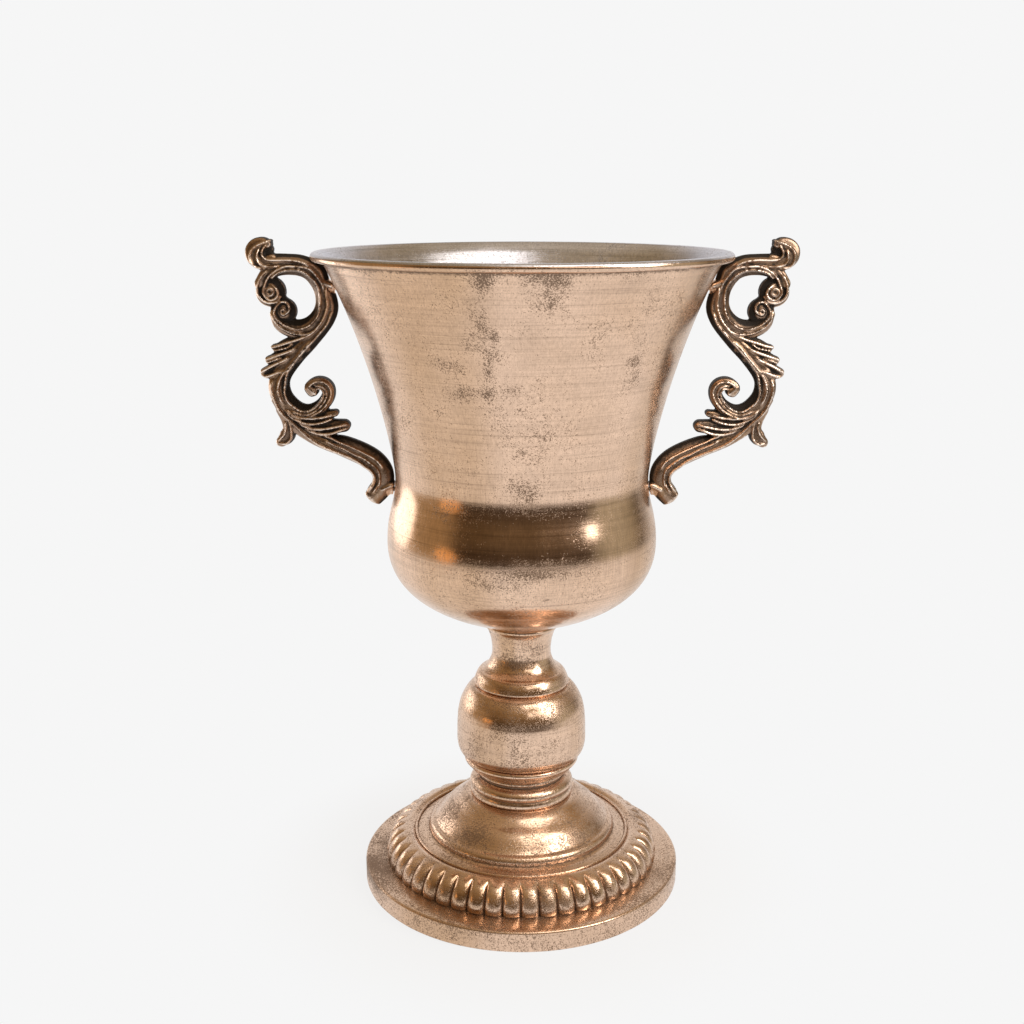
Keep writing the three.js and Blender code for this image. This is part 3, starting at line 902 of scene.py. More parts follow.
@dataclass
class Cup(TurnedPiece):
    """The spun cup: belly, waist and flare, with a rolled rim bead and a floor, and a silvery inside."""

    node: str = "cup"
    name: str = "planter_cup"
    steps: int = 192
    bore: float = 4.3
    throat: float = 22.0
    belly: Point = (80.3, 52.1)
    waist: Point = (74.8, 91.2)
    mouth: Point = (113.2, 216.5)
    bead: Point = (117.6, 219.5)
    bead_radius: float = 2.4
    wall: float = 1.2
    belly_pulls: tuple[Point, Point] = ((35.2, 7.4), (80.3, 14.6))
    waist_pulls: tuple[Point, Point] = ((80.3, 70.4), (74.8, 76.2))
    flare_pulls: tuple[Point, Point] = ((74.8, 106.2), (89.2, 169.7))
    finish: SpunMetal = SpunMetal("spun_bronze", pitting=-0.1, edge_reflection=0.8, stains=(
        Stain(-10, 380, 10, 7, 1.7), Stain(-10, 373, 7, 7, 1.0), Stain(6, 380, 21, 4.5, 1.6),
        Stain(9, 377, 10, 5, 0.9), Stain(-45, 380, 8, 4, 1.2), Stain(31, 379, 12, 5, 1.1),
        Stain(6, 370, 16, 12, 0.75), Stain(8, 366, 3, 3, 1.3), Stain(-13, 364, 8, 10, 1.2),
        Stain(-11, 354, 8, 14, 1.2), Stain(-8, 348, 3, 8, 1.5), Stain(-16, 345, 8, 8, 0.9),
        Stain(-9, 339, 9, 9, 1.1), Stain(-25, 333, 13, 6, 1.0), Stain(-11, 330, 5, 8, 1.3),
        Stain(-22, 318, 12, 6, 1.2), Stain(-12, 319, 8, 5, 1.2), Stain(-3, 321, 7, 5, 1.1),
        Stain(39, 333, 9, 5, 1.2), Stain(42, 323, 9, 8, 1.1), Stain(39, 366, 9, 11, 0.8),
        Stain(40, 344, 9, 11, 0.7), Stain(-35, 343, 12, 13, 0.6), Stain(2, 264, 13, 9, 0.9),
        Stain(9, 250, 22, 7, 0.9), Stain(3, 219, 36, 5, 1.5), Stain(-9, 212, 20, 5, 1.3),
        Stain(-22, 203, 8, 7, 1.1), Stain(10, 203, 3, 1.5, 1.8), Stain(-37, 248, 10, 6, 1.2),
        Stain(2, 350, 13, 14, 0.5), Stain(23, 345, 10, 20, 0.4), Stain(-8, 300, 20, 14, 0.4),
        Stain(14, 243, 40, 18, -1.3), Stain(-40, 240, 16, 12, -0.6), Stain(150, 330, 22, 30, 0.8),
        Stain(205, 372, 30, 8, 1.2), Stain(110, 360, 12, 20, 0.9), Stain(-105, 300, 16, 26, 0.8),
        Stain(165, 215, 40, 8, 1.1), Stain(95, 235, 20, 12, 0.9),
    ))
    lining: SpunMetal = SpunMetal(
        "silver_lining", metal=(0.66, 0.65, 0.71), gold=(0.52, 0.50, 0.51), patina=(0.22, 0.20, 0.19),
        lean=0.2, roughness=0.27, pitting=-0.1, brushing=1.6,
    )

    def outline(self) -> Outline:
        """Draws the wall from the throat up, over the rim and back down inside.

        Returns:
            The closed outline.
        """
        wall = Outline().to((self.throat, 0.0))
        wall.curve(*self.belly_pulls, self.belly, 44)
        wall.curve(*self.waist_pulls, self.waist, 24)
        wall.curve(*self.flare_pulls, self.mouth, 60)
        inside = wall.inner_line(self.wall, self.bore)
        wall.arc(self.bead, (self.bead_radius, self.bead_radius), -130, 125, 28)
        return wall.to(*inside, (self.throat - 1, self.wall), (self.bore, self.wall), (self.bore, 0.0))

    def is_inside(self, face: bpy.types.MeshPolygon) -> bool:
        """Tells whether a face is silvery: it looks inwards, or lies on the floor or on top of the bead.

        Args:
            face: A face of the spun cup.

        Returns:
            Whether it is.
        """
        x, y, _ = face.center / MM
        radius = math.hypot(x, y)
        bead_middle = self.bead[0] - self.bead_radius * 0.8
        if radius > bead_middle:
            return face.normal.z > 0.45
        inward = -(face.normal.x * x + face.normal.y * y) / max(radius, 1.0)
        return inward > 0.05 or (face.normal.z > 0.8 and radius < self.throat * 2)

    def build(self) -> bpy.types.Object:
        """Models and dresses the cup, and lines its inside.

        Returns:
            The finished cup.
        """
        cup = super().build()
        cup.data.materials.append(self.lining.made(self.outline().raised(base_of(self.node))))
        for face in cup.data.polygons:
            face.material_index = int(self.is_inside(face))
        return cup


@dataclass
class Neck(TurnedPiece):
    """The concave spool under the cup, with a lip above and a shoulder moulding below."""

    node: str = "neck"
    name: str = "stem_neck"
    top: float = 39.5
    lip: float = 1.3
    lip_reach: float = 22.2
    finish: SpunMetal = SpunMetal("neck_bronze", lean=-0.6, pitting=0.35, stains=(
        Stain(-12, 145, 8, 5, 0.9), Stain(35, 152, 7, 6, 0.8), Stain(10, 161, 8, 3, 0.7),
    ))

    def outline(self) -> Outline:
        """Draws the shoulder, the spool and the lip.

        Returns:
            The closed outline.
        """
        shape = Outline().to((self.bore, 0.0), (28.2, 0.0))
        shape.through((29.1, 1.2), (28.7, 3.2), (27.9, 5.4), (27.0, 7.2), (25.9, 8.5))
        shape.to((25.4, 8.9))
        shape.through(
            (24.2, 9.4), (22.7, 10.5), (21.2, 12.0), (20.0, 13.8), (19.0, 16.0), (18.1, 19.0), (17.9, 23.5),
        )
        shape.through((18.7, 29.5))
        shape.through((20.5, 34.9), (self.lip_reach, 37.5))
        shape.arc((self.lip_reach - self.lip, self.top - self.lip), (self.lip, self.lip), 0, 90, 6)
        return shape.to((self.bore, self.top))


@dataclass
class Knop(TurnedPiece):
    """The hollow ovoid shell in the middle of the stem."""

    node: str = "knop"
    name: str = "stem_knop"
    steps: int = 160
    height: float = 46.4
    wall: float = 1.6
    seat: float = 32.6
    finish: SpunMetal = SpunMetal("knop_bronze", lean=0.3, pitting=0.35, edge_reflection=0.4, stains=(
        Stain(-42, 96, 10, 12, 0.9), Stain(0, 88, 20, 4, 0.5), Stain(-25, 104, 8, 6, 0.6),
        Stain(27, 108, 20, 9, -0.8), Stain(-36, 109, 9, 6, -0.6), Stain(140, 100, 20, 14, 0.8),
    ))

    def outline(self) -> Outline:
        """Draws the shell from its lower seat up to the flat top, and back down inside.

        Returns:
            The closed outline.
        """
        shape = Outline().to((self.seat, 0.0))
        shape.through(
            (34.5, 0.5), (37.1, 2.3), (38.9, 5.4), (39.8, 10.0), (39.8, 15.4), (39.7, 21.4), (39.2, 28.4),
        )
        shape.through((37.7, 35.0), (34.8, 41.1), (31.0, 45.6), (28.6, self.height))
        ceiling = self.height - self.wall
        inside = shape.inner_line(self.wall, self.bore)
        shape.to((self.bore, self.height), (self.bore, ceiling))
        return shape.to(*[(radius, min(height, ceiling)) for radius, height in inside])


@dataclass
class KnopRing(TurnedPiece):
    """The stepped ring under the knop."""

    node: str = "knop_ring"
    name: str = "knop_ring_moulding"
    height: float = 8.1
    finish: SpunMetal = SpunMetal("ring_bronze", lean=-0.6, pitting=0.4)

    def outline(self) -> Outline:
        """Draws the two steps, the upper one wider.

        Returns:
            The closed outline.
        """
        shape = Outline().to((self.bore, 0.0), (27.0, 0.0))
        shape.through((29.5, 0.2), (31.6, 0.9), (32.4, 2.2), (33.0, 3.4))
        shape.to((33.6, 3.7), (34.2, 4.0))
        shape.through((35.2, 5.2), (35.4, 6.6), (34.8, 7.7), (33.9, self.height))
        return shape.to((self.bore, self.height))


@dataclass
class LowerCollar(TurnedPiece):
    """The cove, torus and fillet between the ring and the foot."""

    node: str = "lower_collar"
    name: str = "foot_collar"
    height: float = 17.0
    finish: SpunMetal = SpunMetal("collar_bronze", lean=-0.6, pitting=0.5)

    def outline(self) -> Outline:
        """Draws the foot bead, the torus, the small bead and the fillet.

        Returns:
            The closed outline.
        """
        shape = Outline().to((self.bore, 0.0), (31.4, 0.0))
        shape.through((31.8, 0.5), (31.8, 2.2), (31.3, 3.8))
        shape.to((30.9, 4.5), (31.3, 5.0))
        shape.through((32.0, 6.3), (31.9, 7.9), (31.0, 9.6), (29.4, 10.9), (27.6, 11.5))
        shape.to((26.5, 11.8), (26.4, 12.6))
        shape.through((27.2, 13.3), (27.4, 14.3), (27.1, 15.2))
        return shape.to((26.5, 15.6), (26.5, 16.4), (27.2, self.height), (self.bore, self.height))


@dataclass
class Foot(TurnedPiece):
    """The domed foot: a step, a thin ridge, the gadroons, a flange and an upright skirt."""

    node: str = "foot"
    name: str = "planter_foot"
    lobes: int = 48
    lobe_steps: int = 14
    bore: float = 4.3
    radius: float = 98.3
    height: float = 54.5
    wall: float = 2.2
    flange: float = 12.6
    flange_rise: float = 0.6
    edge: float = 1.6
    relief: float = 3.1
    shoulder: float = 0.6
    band_inner: float = 67.6
    band_outer: float = 82.2
    band_top: float = 29.4
    band_foot: float = 13.4
    band_rows: int = 24
    groove_start: float = 0.17
    groove_rise: float = 0.33
    end_start: float = 0.86
    corner_reach: float = 85.9
    corner_notch: float = 1.5
    longest_step: float = 2.6
    finish: SpunMetal = SpunMetal("foot_bronze", lean=-0.8, pitting=0.55, brushing=0.7, stains=(
        Stain(-20, 13, 34, 6, 0.5), Stain(-75, 13, 55, 10, 1.4), Stain(65, 13, 45, 6, 0.8),
        Stain(-34, 42, 14, 6, 1.2), Stain(40, 40, 14, 5, 0.5), Stain(-70, 44, 16, 10, 0.9),
        Stain(150, 13, 50, 8, 0.8), Stain(-150, 40, 18, 8, 0.8),
    ))

    def __post_init__(self) -> None:
        """Gives every lobe the same number of steps."""
        self.steps = self.lobes * self.lobe_steps

    def band(self, share: float) -> Point:
        """A place on the bottom of the grooves, from the ridge, at 0, out and down to the flange, at 1.

        Args:
            share: How far down the band it is.

        Returns:
            Its radius and height.
        """
        angle = share * math.pi / 2
        run = self.band_outer - self.band_inner
        rise = self.band_top - self.band_foot
        return self.band_inner + run * math.sin(angle), self.band_foot + rise * math.cos(angle)

    def outline(self) -> Outline:
        """Draws the foot's outside with plain grooves, and comes back inside it.

        Returns:
            The closed outline.
        """
        top = Outline().to((self.radius - 0.5, 0.0), (self.radius, 0.6))
        corner = (self.radius - self.edge, self.flange - self.edge)
        top.arc(corner, (self.edge, self.edge), 0, 84, 7)
        top.to((92.0, self.flange + 0.25), (87.6, self.flange + 0.5))
        top.to((self.corner_reach, self.flange + self.flange_rise))
        top.to(*[self.band(1 - i / self.band_rows) for i in range(self.band_rows + 1)])
        top.arc((66.3, 29.5), (0.9, 1.1), -10, 190, 8)
        top.through((64.0, 29.7), (61.5, 30.3), (59.6, 30.6), (58.2, 31.3), steps=2)
        top.arc((54.6, 32.3), (3.3, 4.1), 0, 76, 7)
        top.through(
            (54.2, 36.7), (52.6, 38.2), (50.3, 41.0), (48.0, 43.6), (45.4, 45.9), (42.2, 48.1), steps=3,
        )
        top.through((39.6, 50.2), (36.8, 52.6), (34.0, 54.0), (31.0, 54.4), steps=3)
        top = top.filled(self.longest_step)
        ceiling = self.height - self.wall
        inner = self.radius - self.wall
        top.to((29.0, self.height), (self.bore, self.height), (self.bore, ceiling), (30.0, ceiling))
        top.to((40.0, 47.6), (50.0, 38.4), (55.0, 31.0), (64.0, 27.4), (70.0, 26.0), (77.0, 20.0))
        top.to((80.4, 11.2))
        return top.to((95.0, self.flange - self.wall), (inner, 9.0), (inner, 0.6), (inner + 0.5, 0.0))

    def carve(self, piece: bpy.types.Object, hollow: np.ndarray) -> None:
        """Pushes the lobes out of the plain band, and darkens the valleys between them.

        Args:
            piece: The spun foot.
            hollow: How far each vertex lies in a hollow, which is added to.
        """
        places = vertex_places(piece)
        radius = np.hypot(places[:, 0], places[:, 1])
        across = (radius - self.band_inner) / (self.band_outer - self.band_inner)
        up = (places[:, 2] - self.band_foot) / (self.band_top - self.band_foot)
        on_band = (np.abs(np.hypot(across, up) - 1) < 0.004) & (across > 0.005) & (up > -0.01)
        angle = np.arctan2(across, up)
        share = angle / (math.pi / 2)
        groove = soft_step((share - self.groove_start) / self.groove_rise)
        turns = np.arctan2(places[:, 1], places[:, 0]) / math.tau * self.lobes
        off_centre = np.abs((turns % 1) - 0.5) * 2
        profile = np.sqrt(np.clip(1 - off_centre ** 2, 0, 1))
        push = self.relief * on_band * self.crown(share, groove, profile)
        at_corner = np.abs(places[:, 2] - self.flange - self.flange_rise) < 0.05
        at_corner &= np.abs(radius - self.corner_reach) < 0.1
        outward = push * np.sin(angle) + at_corner * (profile - 1) * self.corner_notch
        places[:, :2] *= ((radius + outward) / radius)[:, None]
        places[:, 2] += push * np.cos(angle)
        piece.data.vertices.foreach_set("co", (places * MM).ravel())
        piece.data.update()
        valley = np.clip((0.75 - profile) / 0.5, 0, 1) * groove
        hollow += on_band * (valley * 1.1 + self.lower_end(share) * 0.2 - 0.15)

    def lower_end(self, share: np.ndarray) -> np.ndarray:
        """How near each place on the band is to the lobes' lower end, from 0 to 1."""
        return np.clip((share - self.end_start) / (1 - self.end_start), 0, 1)

    def crown(self, share: np.ndarray, groove: np.ndarray, profile: np.ndarray) -> np.ndarray:
        """How far the lobes stand out, as a share of their relief.

        Args:
            share: How far down the band each place is.
            groove: How deep the valleys are cut there, from 0 to 1.
            profile: The lobe's round section there, from 0 in the valley to 1 on the crown.

        Returns:
            One number a vertex.
        """
        height = self.shoulder + (profile - self.shoulder) * groove
        return height * np.clip(share / 0.1, 0, 1) * (1 - 0.25 * self.lower_end(share) ** 2)


class Relief(Enum):
    """How the face of a cast bar is cut: (side, depth) pairs from its right edge to its left, as shares."""

    BEVELLED = (
        (-1.0, 0.5), (-0.88, 0.74), (-0.6, 0.85), (0.0, 0.86),
        (0.2, 0.82), (0.45, 0.64), (0.75, 0.42), (1.0, 0.25),
    )
    CHANNEL = (
        (-1.0, 0.5), (-0.85, 0.76), (-0.4, 0.84), (0.0, 0.85),
        (0.2, 0.83), (0.5, 0.75), (0.8, 0.58), (1.0, 0.3),
    )
    PLAIN = ((-1.0, 0.5), (-0.85, 0.74), (-0.5, 0.86), (0.5, 0.86), (0.85, 0.74), (1.0, 0.5))
    ROUND = ((-1.0, 0.35), (-0.85, 0.68), (-0.5, 0.9), (0.0, 1.0), (0.5, 0.9), (0.85, 0.68), (1.0, 0.35))

    def depth(self, sides: np.ndarray) -> np.ndarray:
        """How deep the face is at each place across the bar.

        Args:
            sides: Places across the bar, from -1 to 1.

        Returns:
            The depths as shares of the bar's half depth.
        """
        pairs = np.array(self.value)
        return np.interp(sides, pairs[:, 0], pairs[:, 1])


Route = tuple[tuple[float, float, float], ...]


@dataclass(frozen=True)
class Strand:
    """One bar of the casting: its route, as (out, down, half width), and how its face is cut.

    Its face lies behind the casting's by the inset, and sinks further in at its ends. A swapped bar has its
    edges changed over. The cap tells how far its rounded ends reach, in half widths.
    """

    route: Route
    relief: Relief
    inset: float = 0.0
    swapped: bool = False
    sink: float = 0.0
    sections: int = 33
    cap: float = 1.0

    def line(self, spacing: float) -> tuple[np.ndarray, np.ndarray]:
        """Cuts the route into even steps.

        Args:
            spacing: The distance between its points.

        Returns:
            Its points, as (out, down, half width), and how far each one lies from the nearest end, up to 1.
        """
        fine = np.array(smooth_path(self.route, 16))
        walked = walked_length(fine[:, :2])
        stations = np.linspace(0, walked[-1], max(8, int(walked[-1] / spacing)) + 1)
        line = np.column_stack([np.interp(stations, walked, fine[:, i]) for i in range(3)])
        return line, np.clip(np.minimum(stations, walked[-1] - stations) / FADE_LENGTH, 0, 1)

    def rings(self, half_depth: float, spacing: float) -> np.ndarray:
        """Sweeps the section along the route, with a rounded cap at each end.

        Args:
            half_depth: The depth of the casting's face from its middle.
            spacing: The distance between the rings.

        Returns:
            An array of rings, each a closed loop of (out, depth, down) points.
        """
        line, from_end = self.line(spacing)
        along = np.gradient(line[:, :2], axis=0)
        along /= np.linalg.norm(along, axis=1)[:, None]
        sides = np.sin(np.linspace(-math.pi / 2, math.pi / 2, self.sections))
        face = self.relief.depth(sides)
        rounding = np.linspace(1, 0, 6)[:-1]
        stops = [(0, -reach) for reach in rounding] + [(i, 0.0) for i in range(len(line))]
        stops += [(len(line) - 1, reach) for reach in rounding[::-1]]
        loops = []
        for i, reach in stops:
            shrink = math.sqrt(1 - (reach * CAP_ROUNDNESS) ** 2)
            half = line[i, 2]
            centre = line[i, :2] + along[i] * reach * half * self.cap
            across = np.array([along[i, 1], -along[i, 0]]) * (-1 if self.swapped else 1)
            deep = (half_depth - self.inset - self.sink * (1 - from_end[i])) * (0.75 + 0.25 * shrink)
            flat = centre - across * (sides * half * shrink)[:, None]
            front = np.column_stack([flat[:, 0], -face * deep, flat[:, 1]])
            back = np.column_stack([flat[::-1, 0], face[::-1] * deep, flat[::-1, 1]])
            loops.append(np.vstack([front, back]))
        return np.array(loops)


def ridge(half: float, *places: Point) -> Strand:
    """A thin raised line on both faces of the casting, which sinks in at its ends.

    Args:
        half: Its half width.
        places: The places that it passes, out and down.

    Returns:
        The strand.
    """
    return Strand(tuple((out, down, half) for out, down in places), Relief.ROUND, sink=1.2, sections=13)


class Seat(Enum):
    """The two seats of a handle on the cup, each with the lean of its screw from level, in radians."""

    UPPER = -0.42
    LOWER = 0.195

    @property
    def level(self) -> str:
        """The seat's name in the CAD nodes."""
        return self.name.lower()

    def along(self) -> Vector:
        """The way that the screw points on the right side, from the cup outwards."""
        return Vector((math.cos(self.value), 0, math.sin(self.value)))

    def middle(self, kind: str) -> Vector:
        """The middle of the right side's screw or washer, in metres."""
        low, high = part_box(f"{kind}_right_{self.level}")
        return (low + high) / 2


@dataclass(frozen=True)
class Volute:
    """The disc in the eye of a scroll: a dimpled button on a lower web. Its centre is out and down."""

    centre: Point
    radius: float
    button: float

    def outline(self, deep: float) -> Outline:
        """Draws the disc's section, the same on both faces.

        Args:
            deep: The depth of the casting's face from its middle.

        Returns:
            The closed outline, from the back to the front.
        """
        button = self.button
        shape = [
            (0.0, 0.78), (button * 0.35, 0.82), (button * 0.6, 0.94), (button * 0.85, 0.88), (button, 0.74),
            (button + 1.6, 0.7), (button + 2.6, 0.55), (self.radius, 0.4),
        ]
        back = [(radius, -share * deep) for radius, share in shape]
        return Outline(back + [(radius, share * deep) for radius, share in shape[::-1]])


@dataclass
class Handle:
    """A cast scroll handle, drawn from the rim's edge outwards and from the cup's top down."""

    rim: float = 120.0
    top_gap: float = 0.1
    half_depth: float = 6.5
    ring_spacing: float = 0.8
    voxel: float = 0.49
    boss_radius: float = 2.9
    boss_flare: float = 4.3
    boss_length: float = 7.5
    boss_gap: float = 0.3
    boss_wear: float = -0.6
    hollow_depth: float = 0.45
    hollow_rounds: int = 6
    main_scroll: Route = (
        (22.5, 4.7, 3.2), (14, 4.5, 2.8), (7, 5, 2.8), (1.3, 7.3, 3.2), (-3.9, 11, 3.6), (-6, 15.4, 3.1),
        (-7.7, 20.5, 3), (-9.7, 26, 3.5), (-10.6, 32.5, 3.5), (-7.9, 39.6, 3.6), (2.3, 51.1, 4.5),
        (12, 60.8, 5), (20, 71, 5.6), (21.7, 77, 6), (20.3, 83.5, 6), (15, 89.1, 5), (10, 92, 4.5),
        (5, 92.7, 4.3), (0.2, 91, 4.1), (-4, 87.7, 4), (-6.7, 83.3, 3.9), (-6.9, 79, 3.7),
        (-4.9, 76.2, 3.4), (-1.2, 75.1, 3.1), (2.2, 76.2, 2.9), (4, 78.4, 3), (2.6, 80.6, 3),
    )
    top_curl: Route = (
        (22.5, 4.7, 3.2), (28.3, 6.4, 4), (32.4, 4, 4.4), (33.2, -0.2, 4.4), (30.6, -3.4, 4), (27, -4.4, 3.2),
        (24.8, -3.8, 2.4),
    )
    hook_web: Route = ((28.5, 2.5, 4), (27, 0.5, 4), (24.8, -0.6, 3.2))
    eye_scroll: Route = (
        (29.1, 18.2, 4), (25.1, 12.5, 3.9), (14.2, 10, 3.6), (3.1, 12.4, 3.5), (-3.2, 20.5, 3.4),
        (-4.7, 28, 3.4), (-3.9, 33.2, 3.6), (-1.4, 38, 4.1), (2.8, 41.9, 4.6), (8, 44, 5.1),
        (13.5, 43.7, 5.2), (19, 40.7, 4.6), (21.9, 35.8, 3.2),
    )
    arm: Route = (
        (24.4, 84.7, 2.3), (15.1, 99.3, 3.2), (3.1, 107.2, 4.1), (-5.7, 110.9, 4.7), (-15, 113.3, 6),
        (-31.6, 121.4, 6.4), (-37.2, 128.1, 6.2), (-37.9, 134.3, 6.2), (-36.5, 138.5, 6.2),
        (-31.5, 144.5, 5.6),
    )
    spur: Route = (
        (21.2, 91.2, 2.9), (18.3, 97.7, 2.8), (17, 102.5, 3.5), (18.4, 107.3, 4.5), (21.4, 110.2, 3.2),
    )
    upper_leaf: tuple[Route, ...] = (
        ((2, 49, 3.2), (9, 51.2, 3.6), (16.6, 53.4, 3.4), (21.8, 55.4, 2.5)),
        ((5, 54.6, 3.2), (11, 56.6, 3.6), (19.2, 59.2, 3.4), (26.3, 62.2, 2.4)),
        ((10, 60, 3.4), (15.3, 62.8, 3.8), (22.4, 66.3, 3.6), (29.4, 69.8, 2.5)),
    )
    lower_leaf: tuple[Route, ...] = (
        ((16.6, 93, 3), (6.7, 96, 3.3), (-2.7, 95.1, 3.1), (-10.6, 93.4, 2)),
        ((12.7, 99.5, 3.6), (2.2, 101.9, 4.2), (-7.2, 101.6, 4.3), (-15.6, 101, 3.6)),
    )
    bulb: Route = ((3.4, 78.9, 2.6), (2.1, 80.1, 3.4))
    eye_web: Route = ((21, 26, 3.5), (16.5, 29.2, 3))
    pegs: tuple[Route, ...] = (
        ((-10.2, 19.1, 2.3), (-6.4, 17.7, 2.4)),
        ((-42.3, 136.4, 2.3), (-38.4, 138.3, 2.5)),
    )
    volutes: tuple[Volute, ...] = (Volute((24.2, 23.0), 8.6, 3.0), Volute((17.2, 34.1), 7.5, 2.0))
    ridges: tuple[Strand, ...] = (
        # Along the curl at the top
        ridge(
            1.1, (-0.5, 9.5), (4.5, 6.5), (12, 5), (22, 5), (25.5, 4.5), (27.5, 2.5), (27.5, 0), (26, -2.5),
            (24.5, -4.5),
        ),
        ridge(
            1.1, (23.5, -5.5), (27, -4.5), (30.5, -3), (33.5, -0.5), (34.5, 2.5), (34, 6), (32, 8.5),
            (29, 9.5), (25.5, 9.5),
        ),
        ridge(1.2, (29.5, -1.5), (30.5, 2), (30.5, 5), (28.5, 7.5), (25.5, 8.5), (17.5, 8.5)),
        # Round the upper scroll and inside the eye
        ridge(
            1.2, (-7, 23), (-6, 18.5), (-3, 14), (0, 10.5), (4.5, 9), (9.5, 8.5), (14.5, 8.5), (19.5, 10.5),
            (23, 13), (25.5, 16), (27, 19.5), (28, 23), (26.5, 26), (24, 27.5), (21, 26.5), (19.5, 24),
            (20.5, 21), (22.5, 19.5),
        ),
        ridge(
            1.0, (22.5, 15), (19.5, 12.5), (15.5, 11), (11, 10.5), (6.5, 11), (2.5, 13), (-1, 16),
            (-3.5, 20), (-4.5, 24.5), (-4.5, 29), (-4, 33), (-2.5, 37), (0.5, 40.5), (4, 43), (8, 44),
            (12.5, 43.5), (17, 41.5), (20, 39), (22, 36), (21.5, 32.5), (19.5, 30), (17.5, 28.5), (15, 29),
            (13.5, 31), (13.5, 33.5), (15, 35), (17, 36), (18.5, 34.5), (18, 33),
        ),
        ridge(
            1.1, (24.5, 10.5), (27.5, 13), (30, 16.5), (31, 20), (31, 24), (28.5, 27.5), (25, 29),
            (20.5, 28.5), (18.5, 26),
        ),
        # Down the cup's side and round below the eye
        ridge(
            1.3, (-8, 18.5), (-8, 24.5), (-8.5, 30), (-7.5, 34.5), (-5.5, 39), (-2.5, 43), (1, 46.5),
            (5, 48.5), (10.5, 50.5), (15.5, 52), (20, 53.5), (24, 54.5),
        ),
        ridge(
            1.0, (-1.5, 44), (2.5, 46.5), (7, 47), (12, 46.5), (16.5, 44.5), (20, 42), (22.5, 38.5),
            (23.5, 34.5),
        ),
        ridge(0.7, (6, 45.5), (10.5, 45.5), (15, 44), (19, 41.5)),
        # Along the upper leaf
        ridge(1.5, (10.5, 55), (13.5, 56.5), (17.5, 58), (22, 59.5), (27.5, 61.5)),
        ridge(1.5, (14.5, 60.5), (17.5, 62), (22, 64), (26, 66), (30.5, 68.5)),
        ridge(1.5, (13, 65), (16, 68), (21, 69), (25, 70.5), (28.5, 71.5)),
        ridge(0.9, (12.5, 52.5), (15, 54.5), (18.5, 55.5), (22.5, 56.5)),
        ridge(0.9, (19.5, 61), (23.5, 62), (27, 63.5)),
        # Down the stem and round the lower scroll
        ridge(
            1.5, (0.5, 50.5), (5.5, 54.5), (9.5, 59.5), (13, 63.5), (16, 67), (19, 70.5), (21, 74.5),
            (22, 79), (21, 83.5), (19, 88.5),
        ),
        ridge(
            1.0, (-11, 34), (-8, 41), (-3, 47), (2.5, 53), (7.5, 58.5), (12.5, 64.5), (16, 69.5),
            (17.5, 75.5), (18, 81.5), (16, 86.5), (12.5, 89.5), (9.5, 91.5), (6, 92), (2, 90.5),
            (-1.5, 87.5), (-4, 84), (-4.5, 80.5), (-3, 78.5), (0, 79),
        ),
        # Down the outer edge and along the arm
        ridge(
            1.4, (24, 73), (25.5, 77), (25, 82.5), (23.5, 87), (21.5, 91.5), (18, 95.5), (14, 99),
            (10, 103), (5, 107.5), (-0.5, 111.5), (-8, 115), (-15.5, 118), (-22, 121), (-27, 124.5),
            (-31, 127.5), (-33, 131), (-32.5, 135), (-29.5, 139.5),
        ),
        # Round the lower curl
        ridge(
            1.1, (7.5, 96), (3, 94.5), (-2, 92), (-6, 88), (-8.5, 83.5), (-9, 79.5), (-7, 76), (-4, 74.5),
            (-0.5, 74.5), (3, 76.5), (5, 79),
        ),
        ridge(
            0.8, (15.5, 91.5), (11.5, 93), (7, 94), (2, 92.5), (-2, 89.5), (-5, 86), (-6.5, 82),
            (-5.5, 78.5), (-3, 77), (0, 77),
        ),
        # Along the lower leaf
        ridge(1.4, (-8, 94.5), (-3.5, 95.5), (1, 96), (6.5, 96), (11, 95.5), (15, 93.5), (18.5, 90.5)),
        ridge(1.2, (-8, 97), (-3.5, 98.5), (2, 99.5), (7, 99), (11, 97.5), (14.5, 95.5), (18, 92)),
        ridge(
            1.4, (-16.5, 100), (-11.5, 101), (-6.5, 102), (-1, 102.5), (3.5, 102), (7.5, 100.5), (11, 98.5),
        ),
        ridge(1.4, (-16.5, 102.5), (-13, 103.5), (-8.5, 105), (-3, 105.5), (2, 104.5), (6.5, 102.5)),
        # Along the arm to the toe
        ridge(
            1.1, (-3, 106), (-7.5, 107.5), (-12.5, 110), (-17.5, 112), (-23, 114.5), (-28, 117),
            (-32.5, 119.5), (-36, 122.5), (-38, 126),
        ),
        ridge(
            0.9, (-4.5, 109), (-10, 112), (-16, 114.5), (-21.5, 117.5), (-27, 120), (-31, 123),
            (-34.5, 126), (-36, 130), (-36, 134), (-35, 138),
        ),
        ridge(0.8, (-35.5, 134), (-34, 137.5), (-31.5, 141)),
        # Down the spur
        ridge(1.2, (17, 95.5), (15.5, 99.5), (15, 103.5), (15.5, 108), (18.5, 111), (22, 111)),
        ridge(1.0, (18.5, 97), (18, 102), (19.5, 106), (22.5, 109)),
    )

    @property
    def top(self) -> float:
        """The height that the routes are measured down from, in millimetres."""
        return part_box("cup")[1].z / MM + self.top_gap

